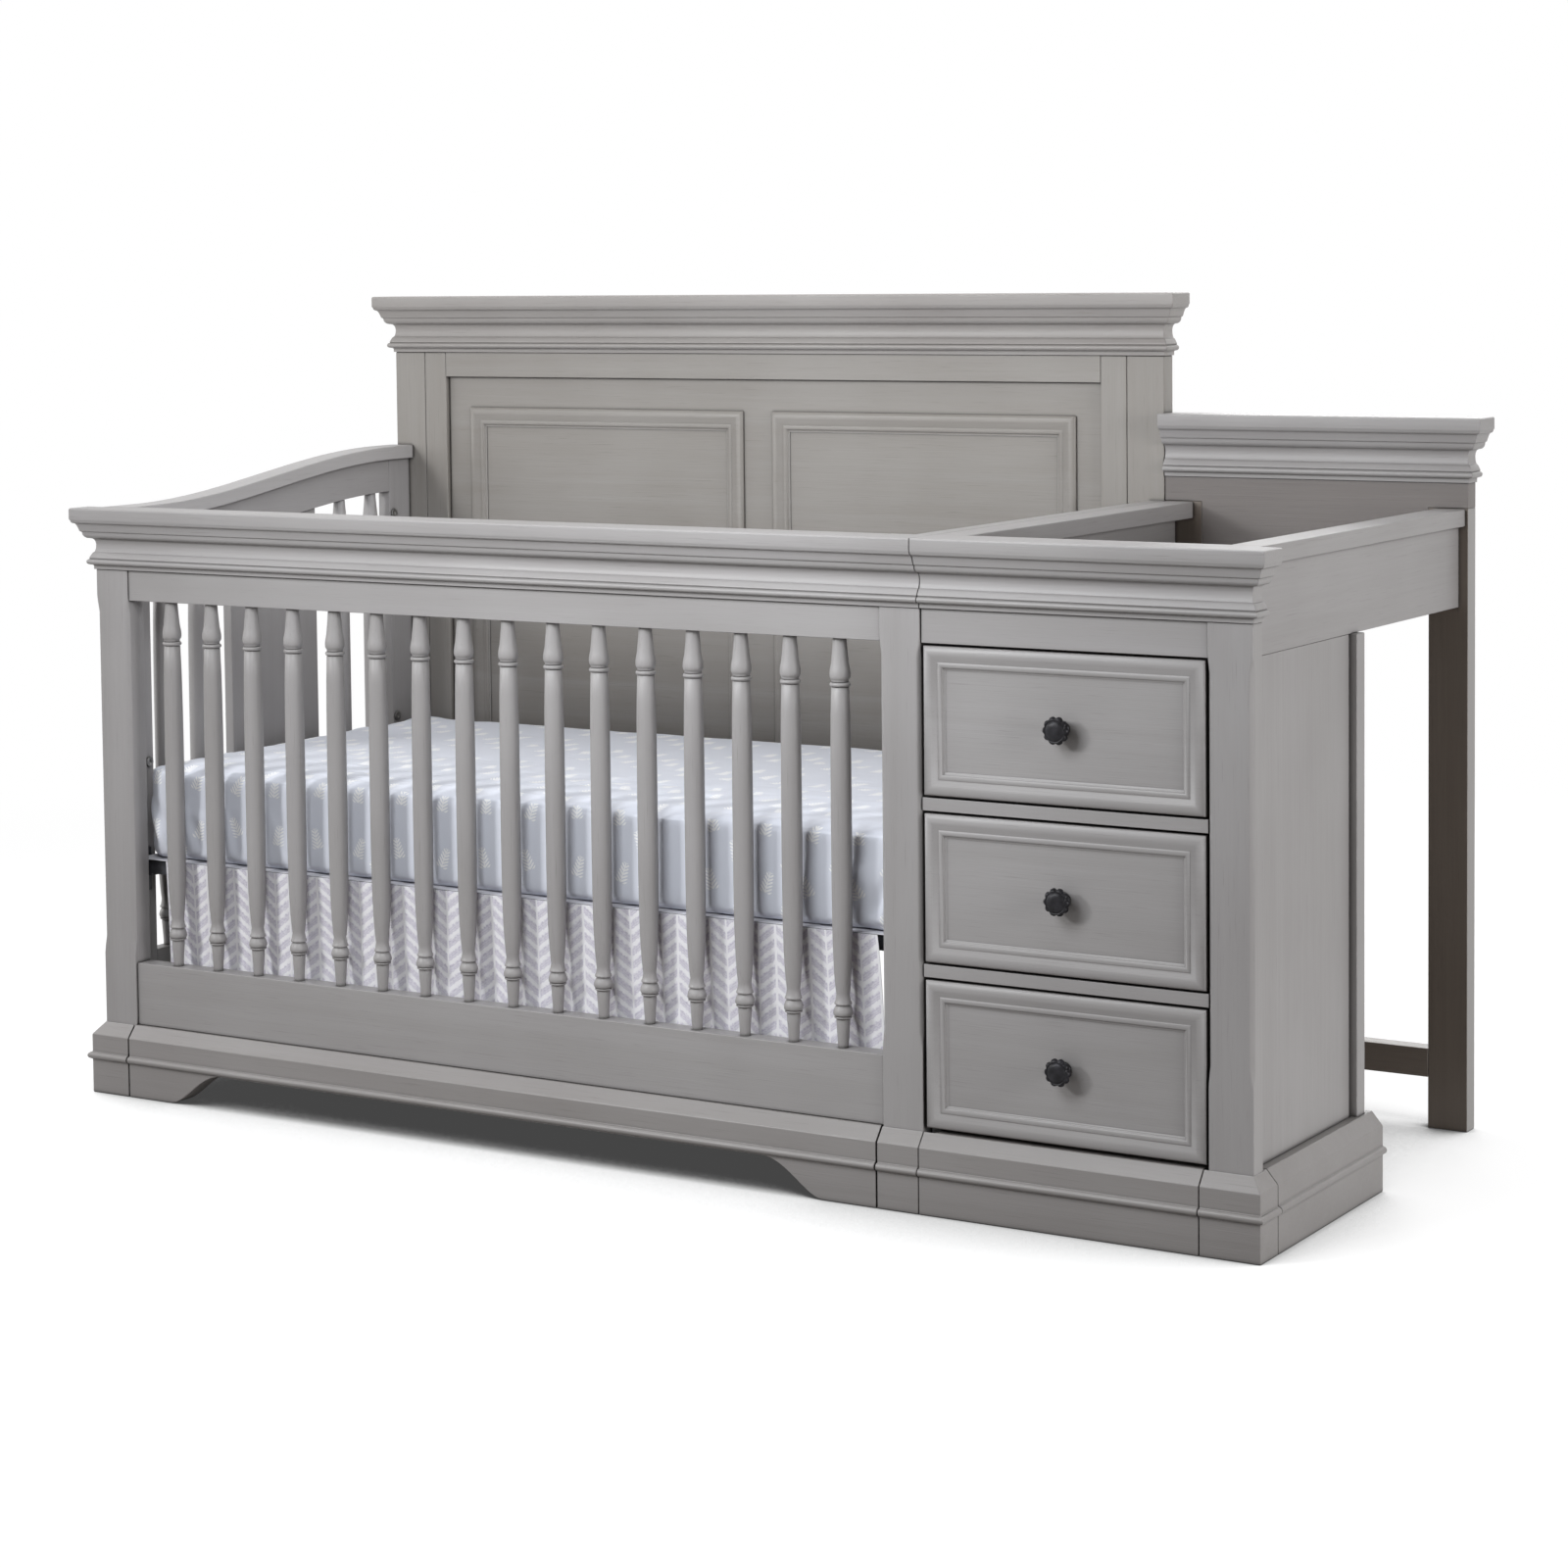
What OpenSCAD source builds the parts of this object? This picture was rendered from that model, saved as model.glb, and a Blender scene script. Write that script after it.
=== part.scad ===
// Crib with an attached changing chest.
// Lengths are in millimetres. X runs along the front from the crib to the chest, Y runs from the
// front to the back and Z is up. The origin is under the middle of the whole piece, on the floor.
// The sizes below are laid out from one corner: x = 0 is the left post's outer face, y = 0 is the
// face of the front posts and z = 0 is the floor. in_place() moves that corner to the origin.

/* [Crib] */
// Length of the crib over its posts
crib_len = 1376; // [1340:1:1420]
// Depth from the face of the front posts to the back of the headboard
crib_depth = 752; // [740:1:790]
// Height of the front rail and of the changing top
rail_h = 862; // [840:1:900]
// Height of the headboard
head_h = 1160; // [1120:1:1220]
// Width of the crib posts
post_w = 59; // [52:1:66]
// Thickness of the front posts
post_t = 34; // [32:1:38]
// Thickness of the headboard posts and of its crown under the overhang
head_t = 30; // [26:1:32]
// Gap between the crib and the chest unit
unit_gap = 0.8; // [0.4:0.1:0.9]

/* [Crown moulding] */
// Height of a crown moulding
crown_h = 90; // [86:1:100]
// Overhang of a crown beyond the post faces
crown_out = 27; // [24:1:32]
// Thickness of the flat top slab of a crown
slab_h = 16; // [14:1:18]
// Rounding of the slab's edges
slab_ease = 1.5; // [1:0.5:3]
// Distance that the front crown reaches behind the post faces
crown_back = 15; // [12:1:20]
// Radius of the bead near the foot of a crown
crown_bead_r = 4; // [3:0.5:4.5]

/* [Front frame] */
// Height of the plain rail that shows under the crown
apron_h = 44.5; // [38:0.5:50]
// Set-back of the top rail from the post faces
apron_inset = 2.5; // [1:0.5:4]
// Thickness of the front rails
rail_t = 29; // [27:1:30]
// Height of the bottom rail above the base
bottom_rail_h = 91; // [80:1:100]
// Set-back of the bottom rail from the post faces
bottom_inset = 4; // [2:0.5:5]
// Width of the stopped chamfers on the posts
chamfer_w = 5; // [3:0.5:7]
// Height at which the post chamfers begin
chamfer_low = 205; // [195:1:230]
// Length of the run-out at each end of a chamfer
chamfer_runout = 26; // [15:1:40]
// Distance that the chamfers run up past the lower edge of the top rail
chamfer_past = 8; // [4:1:12]

/* [Turned spindles] */
// Number of spindles in the front
spindle_count = 16; // [14:1:17]
// Distance from a post to the axis of the nearest spindle
spindle_edge = 68; // [55:1:75]
// Distance of the spindle axes behind the post faces
spindle_y = 17.5; // [16.5:0.5:18]
// Diameter of a spindle at the middle of its body
spindle_d = 27.5; // [25:0.5:28.5]
// Diameter of the body at its top, under the beads
body_top_d = 23.5; // [22:0.5:24.5]
// Diameter at the waist below the body, at the head and over the foot's tip
neck_d = 17.6; // [16:0.1:19]
// Diameter of the widest ring and bead
bead_d = 27.5; // [25:0.5:28.5]
// Length of the thin neck under the top rail
neck_len = 38; // [34:0.5:44]
// Length of the disc and the bulb under the neck
beads_len = 26.7; // [24:0.1:29]
// Length of the tapered foot
foot_len = 37.3; // [34:0.1:42]
// Length of the disc, cup and collar above the foot
rings_len = 24.1; // [22:0.1:28]

/* [Base moulding] */
// Height of the base moulding
base_h = 104; // [98:1:110]
// Distance that the base stands out beyond the posts
base_out = 15; // [12:1:18]
// Height of the sloped top of the base
base_slope = 18; // [14:1:22]
// Height of the bead's middle above the floor
base_bead_z = 54.5; // [53:0.5:60]
// Distance that the bead stands out beyond the base
base_bead_out = 5.7; // [4:0.1:7]
// Clear height between the bracket feet
foot_open_h = 48; // [40:1:48]
// Width of a bracket foot on the floor
foot_w = 80; // [60:1:100]
// Length of a bracket foot's curve
foot_curve = 93; // [70:1:110]
// Thickness of the base behind the post faces
base_back = 20; // [14:1:26]
// Width of the seams between the base blocks
base_seam = 2; // [1:0.5:2.5]
// Distance from a post's inner edge to the base seam beside it
seam_shift = 3; // [2:0.5:5]

/* [Crib ends] */
// Thickness of the end panels
end_t = 22; // [18:1:24]
// Set-back of the end panels from the posts' outer faces
end_inset = 2; // [1:0.5:4]
// Width of the end stiles
stile_w = 54; // [44:1:58]
// Width of the cap rail
cap_w = 42; // [36:1:46]
// Thickness of the cap rails
cap_h = 21; // [18:1:24]
// Rise of the curved cap towards the headboard
cap_rise = 58; // [30:1:80]
// Distance from the front stile's face to the start of the curve
curve_start = 51; // [40:1:80]
// Distance from the headboard to the end of the curve
curve_end = 44; // [30:1:80]
// Height of the rail under the cap
end_rail_h = 52; // [44:1:60]
// Height of the end's bottom rail
end_low_h = 94; // [80:1:104]
// Width of the flat panel in the middle of an end
end_panel_w = 206; // [160:1:230]
// Thickness of that panel
end_panel_t = 16; // [12:1:18]
// Distance from a stile to the first end spindle's axis
end_first = 37; // [30:1:42]
// Distance between the two end spindles beside the panel
end_pitch = 79; // [66:1:84]
// Set-back of the flat panel from the inner face of an end
end_panel_inset = 3; // [2:0.5:4]
// Distance that the left cap rail is shifted outwards
cap_shift = 1; // [0:0.5:2]
// Diameter of the bolt heads on the inner faces of the stiles
bolt_d = 14; // [12:1:16]
// Distance of the bolts from the posts
bolt_inset = 44; // [40:1:46]
// Height of the lowest bolts above the base
bolt_low = 46; // [40:1:60]
// Distance of the highest bolts below the top of the front rail
bolt_drop = 52; // [48:1:60]

/* [Headboard] */
// Width of the inner stiles
head_stile_w = 42; // [34:1:50]
// Height of the rail under the headboard crown
head_rail_h = 39.5; // [34:0.5:50]
// Height of the headboard's bottom edge above the floor
head_low = 175; // [160:1:200]
// Height of the headboard's bottom rail
head_low_h = 60; // [50:1:80]
// Set-back of the panel from the headboard's face
panel_inset = 9; // [7:0.5:11]
// Thickness of the panel
panel_t = 10; // [8:1:12]
// Margin between the panel's edges and the raised frames
frame_margin = 43; // [36:1:50]
// Space between the two raised frames
frame_space = 52; // [44:1:60]
// Width of the moulding of the raised frames
frame_w = 31; // [26:1:34]
// Height of the moulding above the panel
frame_raise = 7; // [5:0.5:7]
// Extra margin above the raised frames
frame_drop = 6; // [0:1:10]

/* [Mattress and its support] */
// Gap between the mattress and the crib's left end
mattress_gap_left = 11; // [8:1:14]
// Gap between the mattress and the crib's right end
mattress_gap_right = 7; // [5:1:12]
// Gap between the mattress and the front posts, and the same at the headboard
mattress_gap_side = 3; // [3:1:10]
// Thickness of the mattress at its middle
mattress_h = 134; // [110:1:140]
// Height of the support deck above the floor
deck_z = 342; // [336:1:346]
// Height of the steel support frame's bars
bar_h = 22; // [18:1:26]
// Wall of the steel angle bars
bar_wall = 2.5; // [2:0.5:3]
// Gap between the steel frame and the crib's ends
deck_gap_end = 6; // [4:1:10]
// Gap between the steel frame and the front posts, and the same at the headboard
deck_gap_side = 12; // [10:1:16]
// Number of cross straps in the support
strap_count = 9; // [7:1:12]
// Width of a strap
strap_w = 18; // [14:1:24]
// Thickness of a strap
strap_t = 2; // [1.5:0.5:3]
// Width, reach and drop of a bracket under the frame
bracket_w = 30; // [24:1:36]
// Thickness of a bracket's plate
bracket_t = 3; // [2:0.5:4]
// Height that a bracket's plate stands above the deck
bracket_rise = 12; // [8:1:20]
// Distance from each crib end to the skirt
skirt_end_gap = 64; // [54:1:110]
// Gap between the front posts and the skirt
skirt_gap = 1.5; // [1:0.5:3]
// Height of the skirt's hem above the floor
hem_z = 112; // [108:1:160]
// Number of soft folds along the skirt
fold_count = 9; // [7:1:12]
// Depth of the folds at the hem
fold_depth = 11; // [7:0.5:13]

/* [Chest] */
// Width of the chest unit over its corner post
chest_w = 454.2; // [440:0.1:470]
// Depth of the chest
chest_d = 362; // [350:1:380]
// Thickness of the chest's back panel
back_panel_t = 8; // [6:1:10]
// Width of the corner post
corner_w = 59.6; // [52:0.1:66]
// Depth of the corner post and thickness of the unit's front frame
corner_t = 28; // [26:1:32]
// Thickness of the carcass boards
board_t = 16; // [14:1:18]
// Set-back of the side panel from the corner post's outer face
side_inset = 13; // [8:1:16]
// Width of the rear stile
rear_stile_w = 26; // [22:1:30]
// Set-back of the rear stile from the corner post's outer face
rear_inset = 4; // [2:1:6]
// Groove between the side panel and the rear stile
side_groove = 5; // [3:0.5:8]
// Distance that the side base reaches behind the chest
base_tail = 15; // [10:1:20]
// Length of the corner block's return along the side
corner_return = 38; // [34:1:44]
// Width of the corner block inside the post's inner edge
corner_lap = 7; // [4:1:10]

/* [Drawers] */
// Space between one drawer front and the next
drawer_space = 22.8; // [20:0.1:26]
// Gap between the lowest drawer front and the base
drawer_low_gap = 4.9; // [3:0.1:7]
// Thickness of a drawer front at its edge
drawer_t = 20; // [18:1:22]
// Distance that the fronts stand out beyond the posts
drawer_proud = 2; // [0:0.5:3]
// Gap between a drawer front and the corner post
drawer_gap = 3; // [1.5:0.1:4]
// Gap between a drawer front and the crib's post
drawer_gap_left = 3.2; // [2:0.1:4]
// Gap between a drawer front and the rail above or below it
divider_gap = 2.9; // [1:0.1:3.5]
// Width of the moulded edge of a front
edge_w = 31; // [26:1:36]
// Height of the moulded edge above the field
edge_raise = 7; // [5:0.5:8]
// Distance of a box's upper edge below the upper edge of its front
box_drop = 34.5; // [28:0.5:50]
// Height of a box above the lower edge of its front
box_lift = 16; // [14:1:22]
// Wall of a drawer box
box_wall = 12; // [9:1:14]
// Thickness of a drawer bottom
bottom_t = 6; // [4:0.5:8]
// Height of the drawer bottom above the lower edge of its box
bottom_lift = 8; // [6:0.5:12]
// Depth of a drawer box behind its front
box_d = 318; // [290:1:320]
// Space beside a drawer box for its runners
runner_w = 12.2; // [10:0.1:14]
// Width and thickness of the ledge under a drawer box
runner_ledge = 10; // [8:0.5:12]
// Height that a runner stands beside its drawer box
runner_rise = 24; // [18:1:30]
// Running gap between a box and its runners
run_gap = 0.3; // [0.2:0.1:0.3]
// Diameter of a knob
knob_d = 36; // [30:1:40]
// Distance that a knob stands out from the drawer's field
knob_out = 26; // [20:1:28]

/* [Changing tray and back] */
// Depth of the chest's top board behind the post faces
top_board_d = 43; // [38:1:50]
// Width of the tray's rim strips
rim_w = 44; // [38:1:46]
// Thickness of the rim strips
rim_h = 23.5; // [20:0.5:28]
// Set-back of the right rim from the corner post's outer face
rim_inset = 4; // [3:1:10]
// Set-back of the side apron from the corner post's outer face
wall_inset = 13; // [12:1:18]
// Thickness of the tray's side walls
wall_t = 16; // [14:1:18]
// Depth of the tray below its rim
tray_depth = 75; // [60:1:80]
// Thickness of the tray board
tray_t = 12; // [10:1:14]
// Height of the changer's back
back_h = 988; // [970:1:1040]
// Thickness of the changer's back frame
back_t = 29; // [24:1:31]
// Width of a back leg
leg_w = 57; // [50:1:64]
// Height of the back rail above the crown's foot down to its lower edge
back_rail_h = 170.5; // [150:0.5:180]
// Height of the part of the back rail that lies over the legs
rail_over = 35; // [28:1:45]
// Height of the lower stretcher
stretcher_h = 40; // [34:1:50]
// Height of the stretcher's lower edge above the floor
stretcher_z = 71; // [60:1:90]

/* [Hidden] */
$fn = 32;
right_x = crib_len + unit_gap + chest_w;      // outer face of the corner post
unit_x = crib_len + unit_gap;                 // left face of the chest unit
span_x = [-crown_out, right_x + crown_out];   // ends of the whole piece
span_y = [-crown_out, crib_depth];
head_y = crib_depth - head_t;                 // face of the headboard
crown_z = rail_h - crown_h;                   // foot of the front crown
apron_z = crown_z - apron_h;                  // lower edge of the front top rail
rail_top = base_h + bottom_rail_h;            // top of the bottom rail
head_crown_z = head_h - crown_h;
back_crown_z = back_h - crown_h;
back_y = crib_depth - back_t;                 // face of the changer's back
corner_x = right_x - corner_w;                // inner face of the corner post
side_x = right_x - side_inset;                // outer face of the side panel
wall_x = right_x - wall_inset;                // outer face of the side apron
inner_left = end_inset + end_t;               // inner faces of the crib ends
inner_right = crib_len - inner_left;
mattress_len = inner_right - inner_left - mattress_gap_left - mattress_gap_right;
mattress_w = head_y - post_t - 2 * mattress_gap_side;
mattress_mid_x = inner_left + mattress_gap_left + mattress_len / 2;
mattress_mid_y = (post_t + head_y) / 2;
skirt_len = inner_right - inner_left - 2 * skirt_end_gap;
deck_cloth = 1.2;                             // cloth of the skirt's deck
curve_gap = 0.15;                             // hairline where curved edges meet
rest_gap = 0.3;                               // hairline under the mattress
mattress_z = deck_z + deck_cloth + rest_gap;
frame_x = [inner_left + deck_gap_end, inner_right - deck_gap_end];
frame_y = [post_t + deck_gap_side, head_y - deck_gap_side];
drawer_low = base_h + drawer_low_gap;          // lower edge of the lowest drawer front
drawer_h = (apron_z - divider_gap - drawer_low - 2 * drawer_space) / 3;
drawer_pitch = drawer_h + drawer_space;
box_h = drawer_h - box_lift - box_drop;
drawer_x = unit_x + drawer_gap_left;
drawer_w = corner_x - drawer_gap - drawer_x;
drawer_mid = drawer_x + drawer_w / 2;
box_x = [unit_x + board_t + runner_w, corner_x - runner_w];
box_y = drawer_t - drawer_proud;
field_y = edge_raise - drawer_proud;
stone = [0.60, 0.59, 0.58];
shade = [0.50, 0.48, 0.46];
raw_wood = [0.82, 0.74, 0.60];
iron = [0.26, 0.26, 0.28];
steel = [0.72, 0.73, 0.75];

// Moves the layout corner so that the origin is under the middle of the whole piece.
module in_place() {
  translate([-(span_x[0] + span_x[1]) / 2, -(span_y[0] + span_y[1]) / 2, 0]) children();
}

// A box between two opposite corners.
module block(low, high) {
  translate(low) cube(high - low);
}

// Extrudes an outline of [y, z] points along X.
module run_x(x0, x1, outline) {
  translate([x0, 0, 0]) rotate([90, 0, 90]) linear_extrude(x1 - x0) polygon(outline);
}

// Extrudes an outline of [x, z] points along Y.
module run_y(y0, y1, outline) {
  translate([0, y1, 0]) rotate([90, 0, 0]) linear_extrude(y1 - y0) polygon(outline);
}

// Points on an arc about a centre, from one angle to another.
function arc(centre, rx, ry, from, to, steps = 6) =
  [for (i = [0:steps]) let (a = from + (to - from) * i / steps)
    [centre[0] + rx * cos(a), centre[1] + ry * sin(a)]];

// ---- Crown mouldings ------------------------------------------------------------------------

// The face of a crown as [overhang, height] points, from its top edge down to its foot: a slab, a
// small quarter round, a sloped band, a larger quarter round, a tall cove and a bead. They are
// drawn for an overhang of 27 and 74 of height under the slab, and follow the crown's own sizes.
function crown_face(top) =
  let (
    drawn = [27, 74],
    wide = crown_out / drawn[0],
    tall = (crown_h - slab_h) / drawn[1],
    slab_z = top - slab_h,
    nose = 4,
    ovolo = 8,
    bead_x = 6.2 * wide,
    bead_z = slab_z - 63 * tall,
    band = [[20.6, 7.2], [19.8, 8.2], [18.4, 11.5], [17.2, 15], [16.4, 18], [14, 19]],
    cove = [[3.4, 29.2], [1.6, 30.8], [0.3, 34], [-0.3, 38], [0, 43], [0.9, 47], [1.8, 49.3],
      [3.2, 49.8], [4.6, 52], [6.6, 56], [7.2, 57.6]]
  )
  concat(
    [[crown_out - slab_ease, top], [crown_out, top - slab_ease], [crown_out, slab_z]],
    arc([21.6 * wide, slab_z - 2.2 * tall], nose * wide, nose * tall, 0, -90),
    [for (p = band) [p[0] * wide, slab_z - p[1] * tall]],
    arc([5.8 * wide, slab_z - 20.6 * tall], ovolo * wide, ovolo * tall, 0, -90),
    [for (p = cove) [p[0] * wide, slab_z - p[1] * tall]],
    arc([bead_x, bead_z], crown_bead_r, crown_bead_r, 90, -90),
    [[2.8 * wide, bead_z - crown_bead_r - 0.8], [2.4 * wide, bead_z - crown_bead_r - 2],
     [2.4 * wide, top - crown_h]]
  );

// A crown's section seen along X: its face overhangs y = face_y and it reaches to y = back.
function crown_section_y(top, face_y, back) =
  concat([for (p = crown_face(top)) [face_y - p[0], p[1]]], [[back, top - crown_h], [back, top]]);

// A crown's elevation seen along Y, with a return at the left, at the right or at both ends.
function crown_section_x(top, x0, x1, left, right) =
  concat(
    right ? [for (p = crown_face(top)) [x1 + p[0], p[1]]] : [[x1, top], [x1, top - crown_h]],
    left ? [for (i = [len(crown_face(top)) - 1:-1:0]) [x0 - crown_face(top)[i][0],
      crown_face(top)[i][1]]] : [[x0, top - crown_h], [x0, top]]
  );

// A length of crown moulding whose returns are mitred into its front.
module crown(top, x0, x1, face_y, back, left, right) {
  reach = crown_out + 1;
  intersection() {
    run_x(x0 - reach, x1 + reach, crown_section_y(top, face_y, back));
    run_y(face_y - reach, back + 1, crown_section_x(top, x0, x1, left, right));
  }
}

module front_crown() {
  color(stone) in_place() crown(rail_h, 0, crib_len, 0, crown_back, true, false);
}

module headboard_crown() {
  color(stone) in_place() crown(head_h, 0, crib_len, head_y, crib_depth, true, true);
}

module changer_crown() {
  color(stone) in_place() crown(back_h, unit_x, right_x, back_y, crib_depth, false, true);
}

// The chest's crown carries the tray's front board and leaves room for the apron behind it.
module chest_crown() {
  color(stone) in_place() {
    difference() {
      crown(rail_h, unit_x, right_x, 0, corner_t, false, true);
      block([unit_x - 1, crown_back, crown_z - 1], [corner_x, corner_t + 1, rail_h - slab_h]);
    }
    block([unit_x, corner_t, rail_h - slab_h], [right_x - rim_inset, top_board_d, rail_h]);
  }
}

// ---- Front frame ----------------------------------------------------------------------------

// Cuts a chamfer along a vertical corner; it runs out to nothing at both ends.
module stopped_chamfer(x, y, z0, z1) {
  hull() {
    translate([x, y, z0]) cube(0.02, center = true);
    translate([x, y, z0 + chamfer_runout]) rotate(45)
      cube([chamfer_w * sqrt(2), chamfer_w * sqrt(2), 0.02], center = true);
    translate([x, y, z1 - chamfer_runout]) rotate(45)
      cube([chamfer_w * sqrt(2), chamfer_w * sqrt(2), 0.02], center = true);
    translate([x, y, z1]) cube(0.02, center = true);
  }
}

// A front post: notched at its top for the planted crown, chamfered on its front corners.
module crib_post(x) {
  difference() {
    block([x, 0, 0], [x + post_w, post_t, rail_h]);
    block([x - 1, -1, crown_z], [x + post_w + 1, crown_back, rail_h + 1]);
    stopped_chamfer(x, 0, chamfer_low, apron_z + chamfer_past);
    stopped_chamfer(x + post_w, 0, chamfer_low, apron_z + chamfer_past);
  }
}

module front_left_post() {
  color(stone) in_place() crib_post(0);
}

module front_right_post() {
  color(stone) in_place() crib_post(crib_len - post_w);
}

// The top rail stands behind the crown and shows under it.
module front_top_rail() {
  back = apron_inset + rail_t;
  color(stone) in_place() run_x(post_w, crib_len - post_w, [
    [apron_inset, apron_z], [back, apron_z], [back, rail_h],
    [crown_back, rail_h], [crown_back, crown_z], [apron_inset, crown_z]
  ]);
}

module front_bottom_rail() {
  color(stone) in_place()
    block([post_w, bottom_inset, base_h], [crib_len - post_w, bottom_inset + rail_t, rail_top]);
}

// A turned spindle standing on z = low, with its top at z = high. Its rings and beads are drawn
// as [share of the bead's radius, share of their length] points.
module spindle(low, high) {
  waist_rise = 7.6;
  low_curve = 41;
  top_curve = 50;
  foot_shoulder = 1.8;
  ring_z = low + foot_len;
  waist_z = ring_z + rings_len + waist_rise;
  body_z = high - neck_len - beads_len;
  neck = neck_d / 2;
  bead = bead_d / 2;
  disc_h = rings_len * 0.06;
  thick_h = beads_len * 0.112;
  cup = [[0.858, 0.2], [0.938, 0.35], [0.858, 0.55], [0.756, 0.68], [0.684, 0.74], [0.684, 0.79]];
  collar = [[0.829, 0.83], [0.807, 0.9], [0.72, 1]];
  bulb = [[0.822, 0.3], [0.822, 0.371], [0.902, 0.419], [0.982, 0.521], [0.996, 0.64],
    [0.989, 0.749], [0.96, 0.861], [0.909, 1]];
  low_loss = (spindle_d - neck_d) / 2;
  top_loss = (spindle_d - body_top_d) / 2;
  swell = 10;
  outline = concat(
    [[0, low], [neck * 0.78, low], [neck * 1.045, ring_z - foot_shoulder], [neck, ring_z]],
    arc([bead * 0.851 - disc_h, ring_z + rings_len * 0.108], disc_h, disc_h, -90, 90, 4),
    [for (p = concat(cup, collar)) [bead * p[0], ring_z + rings_len * p[1]]],
    [for (i = [0:swell]) let (z = (body_z - waist_z) * pow(i / swell, 1.6))
      [spindle_d / 2 - low_loss * exp(-z / low_curve)
        - top_loss * exp((z + waist_z - body_z) / top_curve), waist_z + z]],
    arc([bead - thick_h, body_z + beads_len * 0.157], thick_h, thick_h, -90, 90, 4),
    [for (p = bulb) [bead * p[0], body_z + beads_len * p[1]]],
    [for (p = [[1.33, 0.895], [1.205, 0.605], [1.09, 0.316], [1, 0]])
      [neck * p[0], high - neck_len * p[1]]],
    [[0, high]]
  );
  rotate_extrude() polygon(outline);
}

module front_spindles() {
  pitch = (crib_len - 2 * (post_w + spindle_edge)) / (spindle_count - 1);
  color(stone) in_place()
    for (i = [0:spindle_count - 1])
      translate([post_w + spindle_edge + i * pitch, spindle_y, 0]) spindle(rail_top, apron_z);
}

// ---- Base moulding --------------------------------------------------------------------------

// The face of the base as [overhang, height] points, from the floor up.
function base_face() =
  concat(
    [[base_out, 0]],
    arc([base_out, base_bead_z], base_bead_out, 5.2, -90, 90, 8),
    [[base_out, base_h - base_slope], [0, base_h]]
  );

// A base section seen along X, from its face at y = 0 back to y = back.
function base_section_y(back) =
  concat([for (p = base_face()) [-p[0], p[1]]], [[back, base_h], [back, 0]]);

// The front of the crib's base: an ogee bracket foot at each end, open between them.
module front_base() {
  x0 = post_w - seam_shift;
  x1 = crib_len - post_w - seam_shift;
  steps = 12;
  ogee = [for (i = [0:steps]) let (t = i / steps)
    [foot_w + foot_curve * t, foot_open_h * pow(sin(90 * pow(t, 0.85)), 2)]];
  outline = concat(
    [[x0, 0]],
    [for (p = ogee) [x0 + p[0], p[1]]],
    [for (i = [steps:-1:0]) [x1 - ogee[i][0], ogee[i][1]]],
    [[x1, 0], [x1, base_h + 1], [x0, base_h + 1]]
  );
  color(stone) in_place() intersection() {
    difference() {
      run_x(x0, x1, base_section_y(base_back));
      block([x0 - 1, 0, -1], [post_w, base_back + 1, base_h + 1]);
      block([crib_len - post_w, 0, -1], [x1 + 1, base_back + 1, base_h + 1]);
    }
    run_y(-base_out - 10, base_back + 1, outline);
  }
}

// The blocks of the base in front of the crib's posts; the left one returns along the end.
module front_plinths() {
  face = base_face();
  color(stone) in_place() {
    intersection() {
      run_x(-base_out - 10, post_w - seam_shift - base_seam, base_section_y(post_t));
      run_y(-base_out - 10, post_t, concat(
        [for (p = face) [-p[0], p[1]]], [[post_w, base_h], [post_w, 0]]));
      difference() {
        block([-30, -30, 0], [post_w, post_t, base_h]);
        block([0, 0, -1], [post_w + 1, post_t + 1, base_h + 1]);
      }
    }
    intersection() {
      run_x(crib_len - post_w - seam_shift + base_seam, crib_len, base_section_y(post_t));
      block([0, -30, 0], [crib_len, 0, base_h]);
    }
  }
}

// ---- Crib ends ------------------------------------------------------------------------------

// The height of the curved cap's top at a distance y behind the front posts.
function cap_top(y) =
  let (
    from = post_t + curve_start,
    to = head_y - curve_end,
    t = max(0, min(1, (y - from) / (to - from)))
  )
  rail_h - 1 + cap_rise * (1 - cos(180 * t)) / 2;

// An [y, z] outline between two drops below the curved cap's top.
function cap_band(y0, y1, upper, lower) =
  let (steps = 28, ys = [for (i = [0:steps]) y0 + (y1 - y0) * i / steps])
  concat(
    [for (y = ys) [y, cap_top(y) - upper]],
    [for (i = [steps:-1:0]) [ys[i], cap_top(ys[i]) - lower]]
  );

module left_end_cap() {
  mid = end_inset + end_t / 2 - cap_shift;
  color(stone) in_place()
    run_x(mid - cap_w / 2, mid + cap_w / 2, cap_band(post_t, head_y, 0, cap_h));
}

module left_end_top_rail() {
  color(stone) in_place() run_x(end_inset, inner_left,
    cap_band(post_t + stile_w, head_y - stile_w, cap_h + curve_gap, cap_h + end_rail_h));
}

// A pair of stiles whose tops follow the underside of the cap.
module left_end_stiles() {
  color(stone) in_place()
    for (y0 = [post_t, head_y - stile_w])
      run_x(end_inset, inner_left, concat(
        [for (i = [0:8]) let (y = y0 + stile_w * i / 8) [y, cap_top(y) - cap_h - curve_gap]],
        [[y0 + stile_w, base_h], [y0, base_h]]));
}

module left_end_bottom_rail() {
  color(stone) in_place() block([end_inset, post_t + stile_w, base_h],
    [inner_left, head_y - stile_w, base_h + end_low_h]);
}

// The y positions of the four spindles in an end.
function end_spindle_ys() = [
  post_t + stile_w + end_first,
  post_t + stile_w + end_first + end_pitch,
  head_y - stile_w - end_first - end_pitch,
  head_y - stile_w - end_first
];

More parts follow.
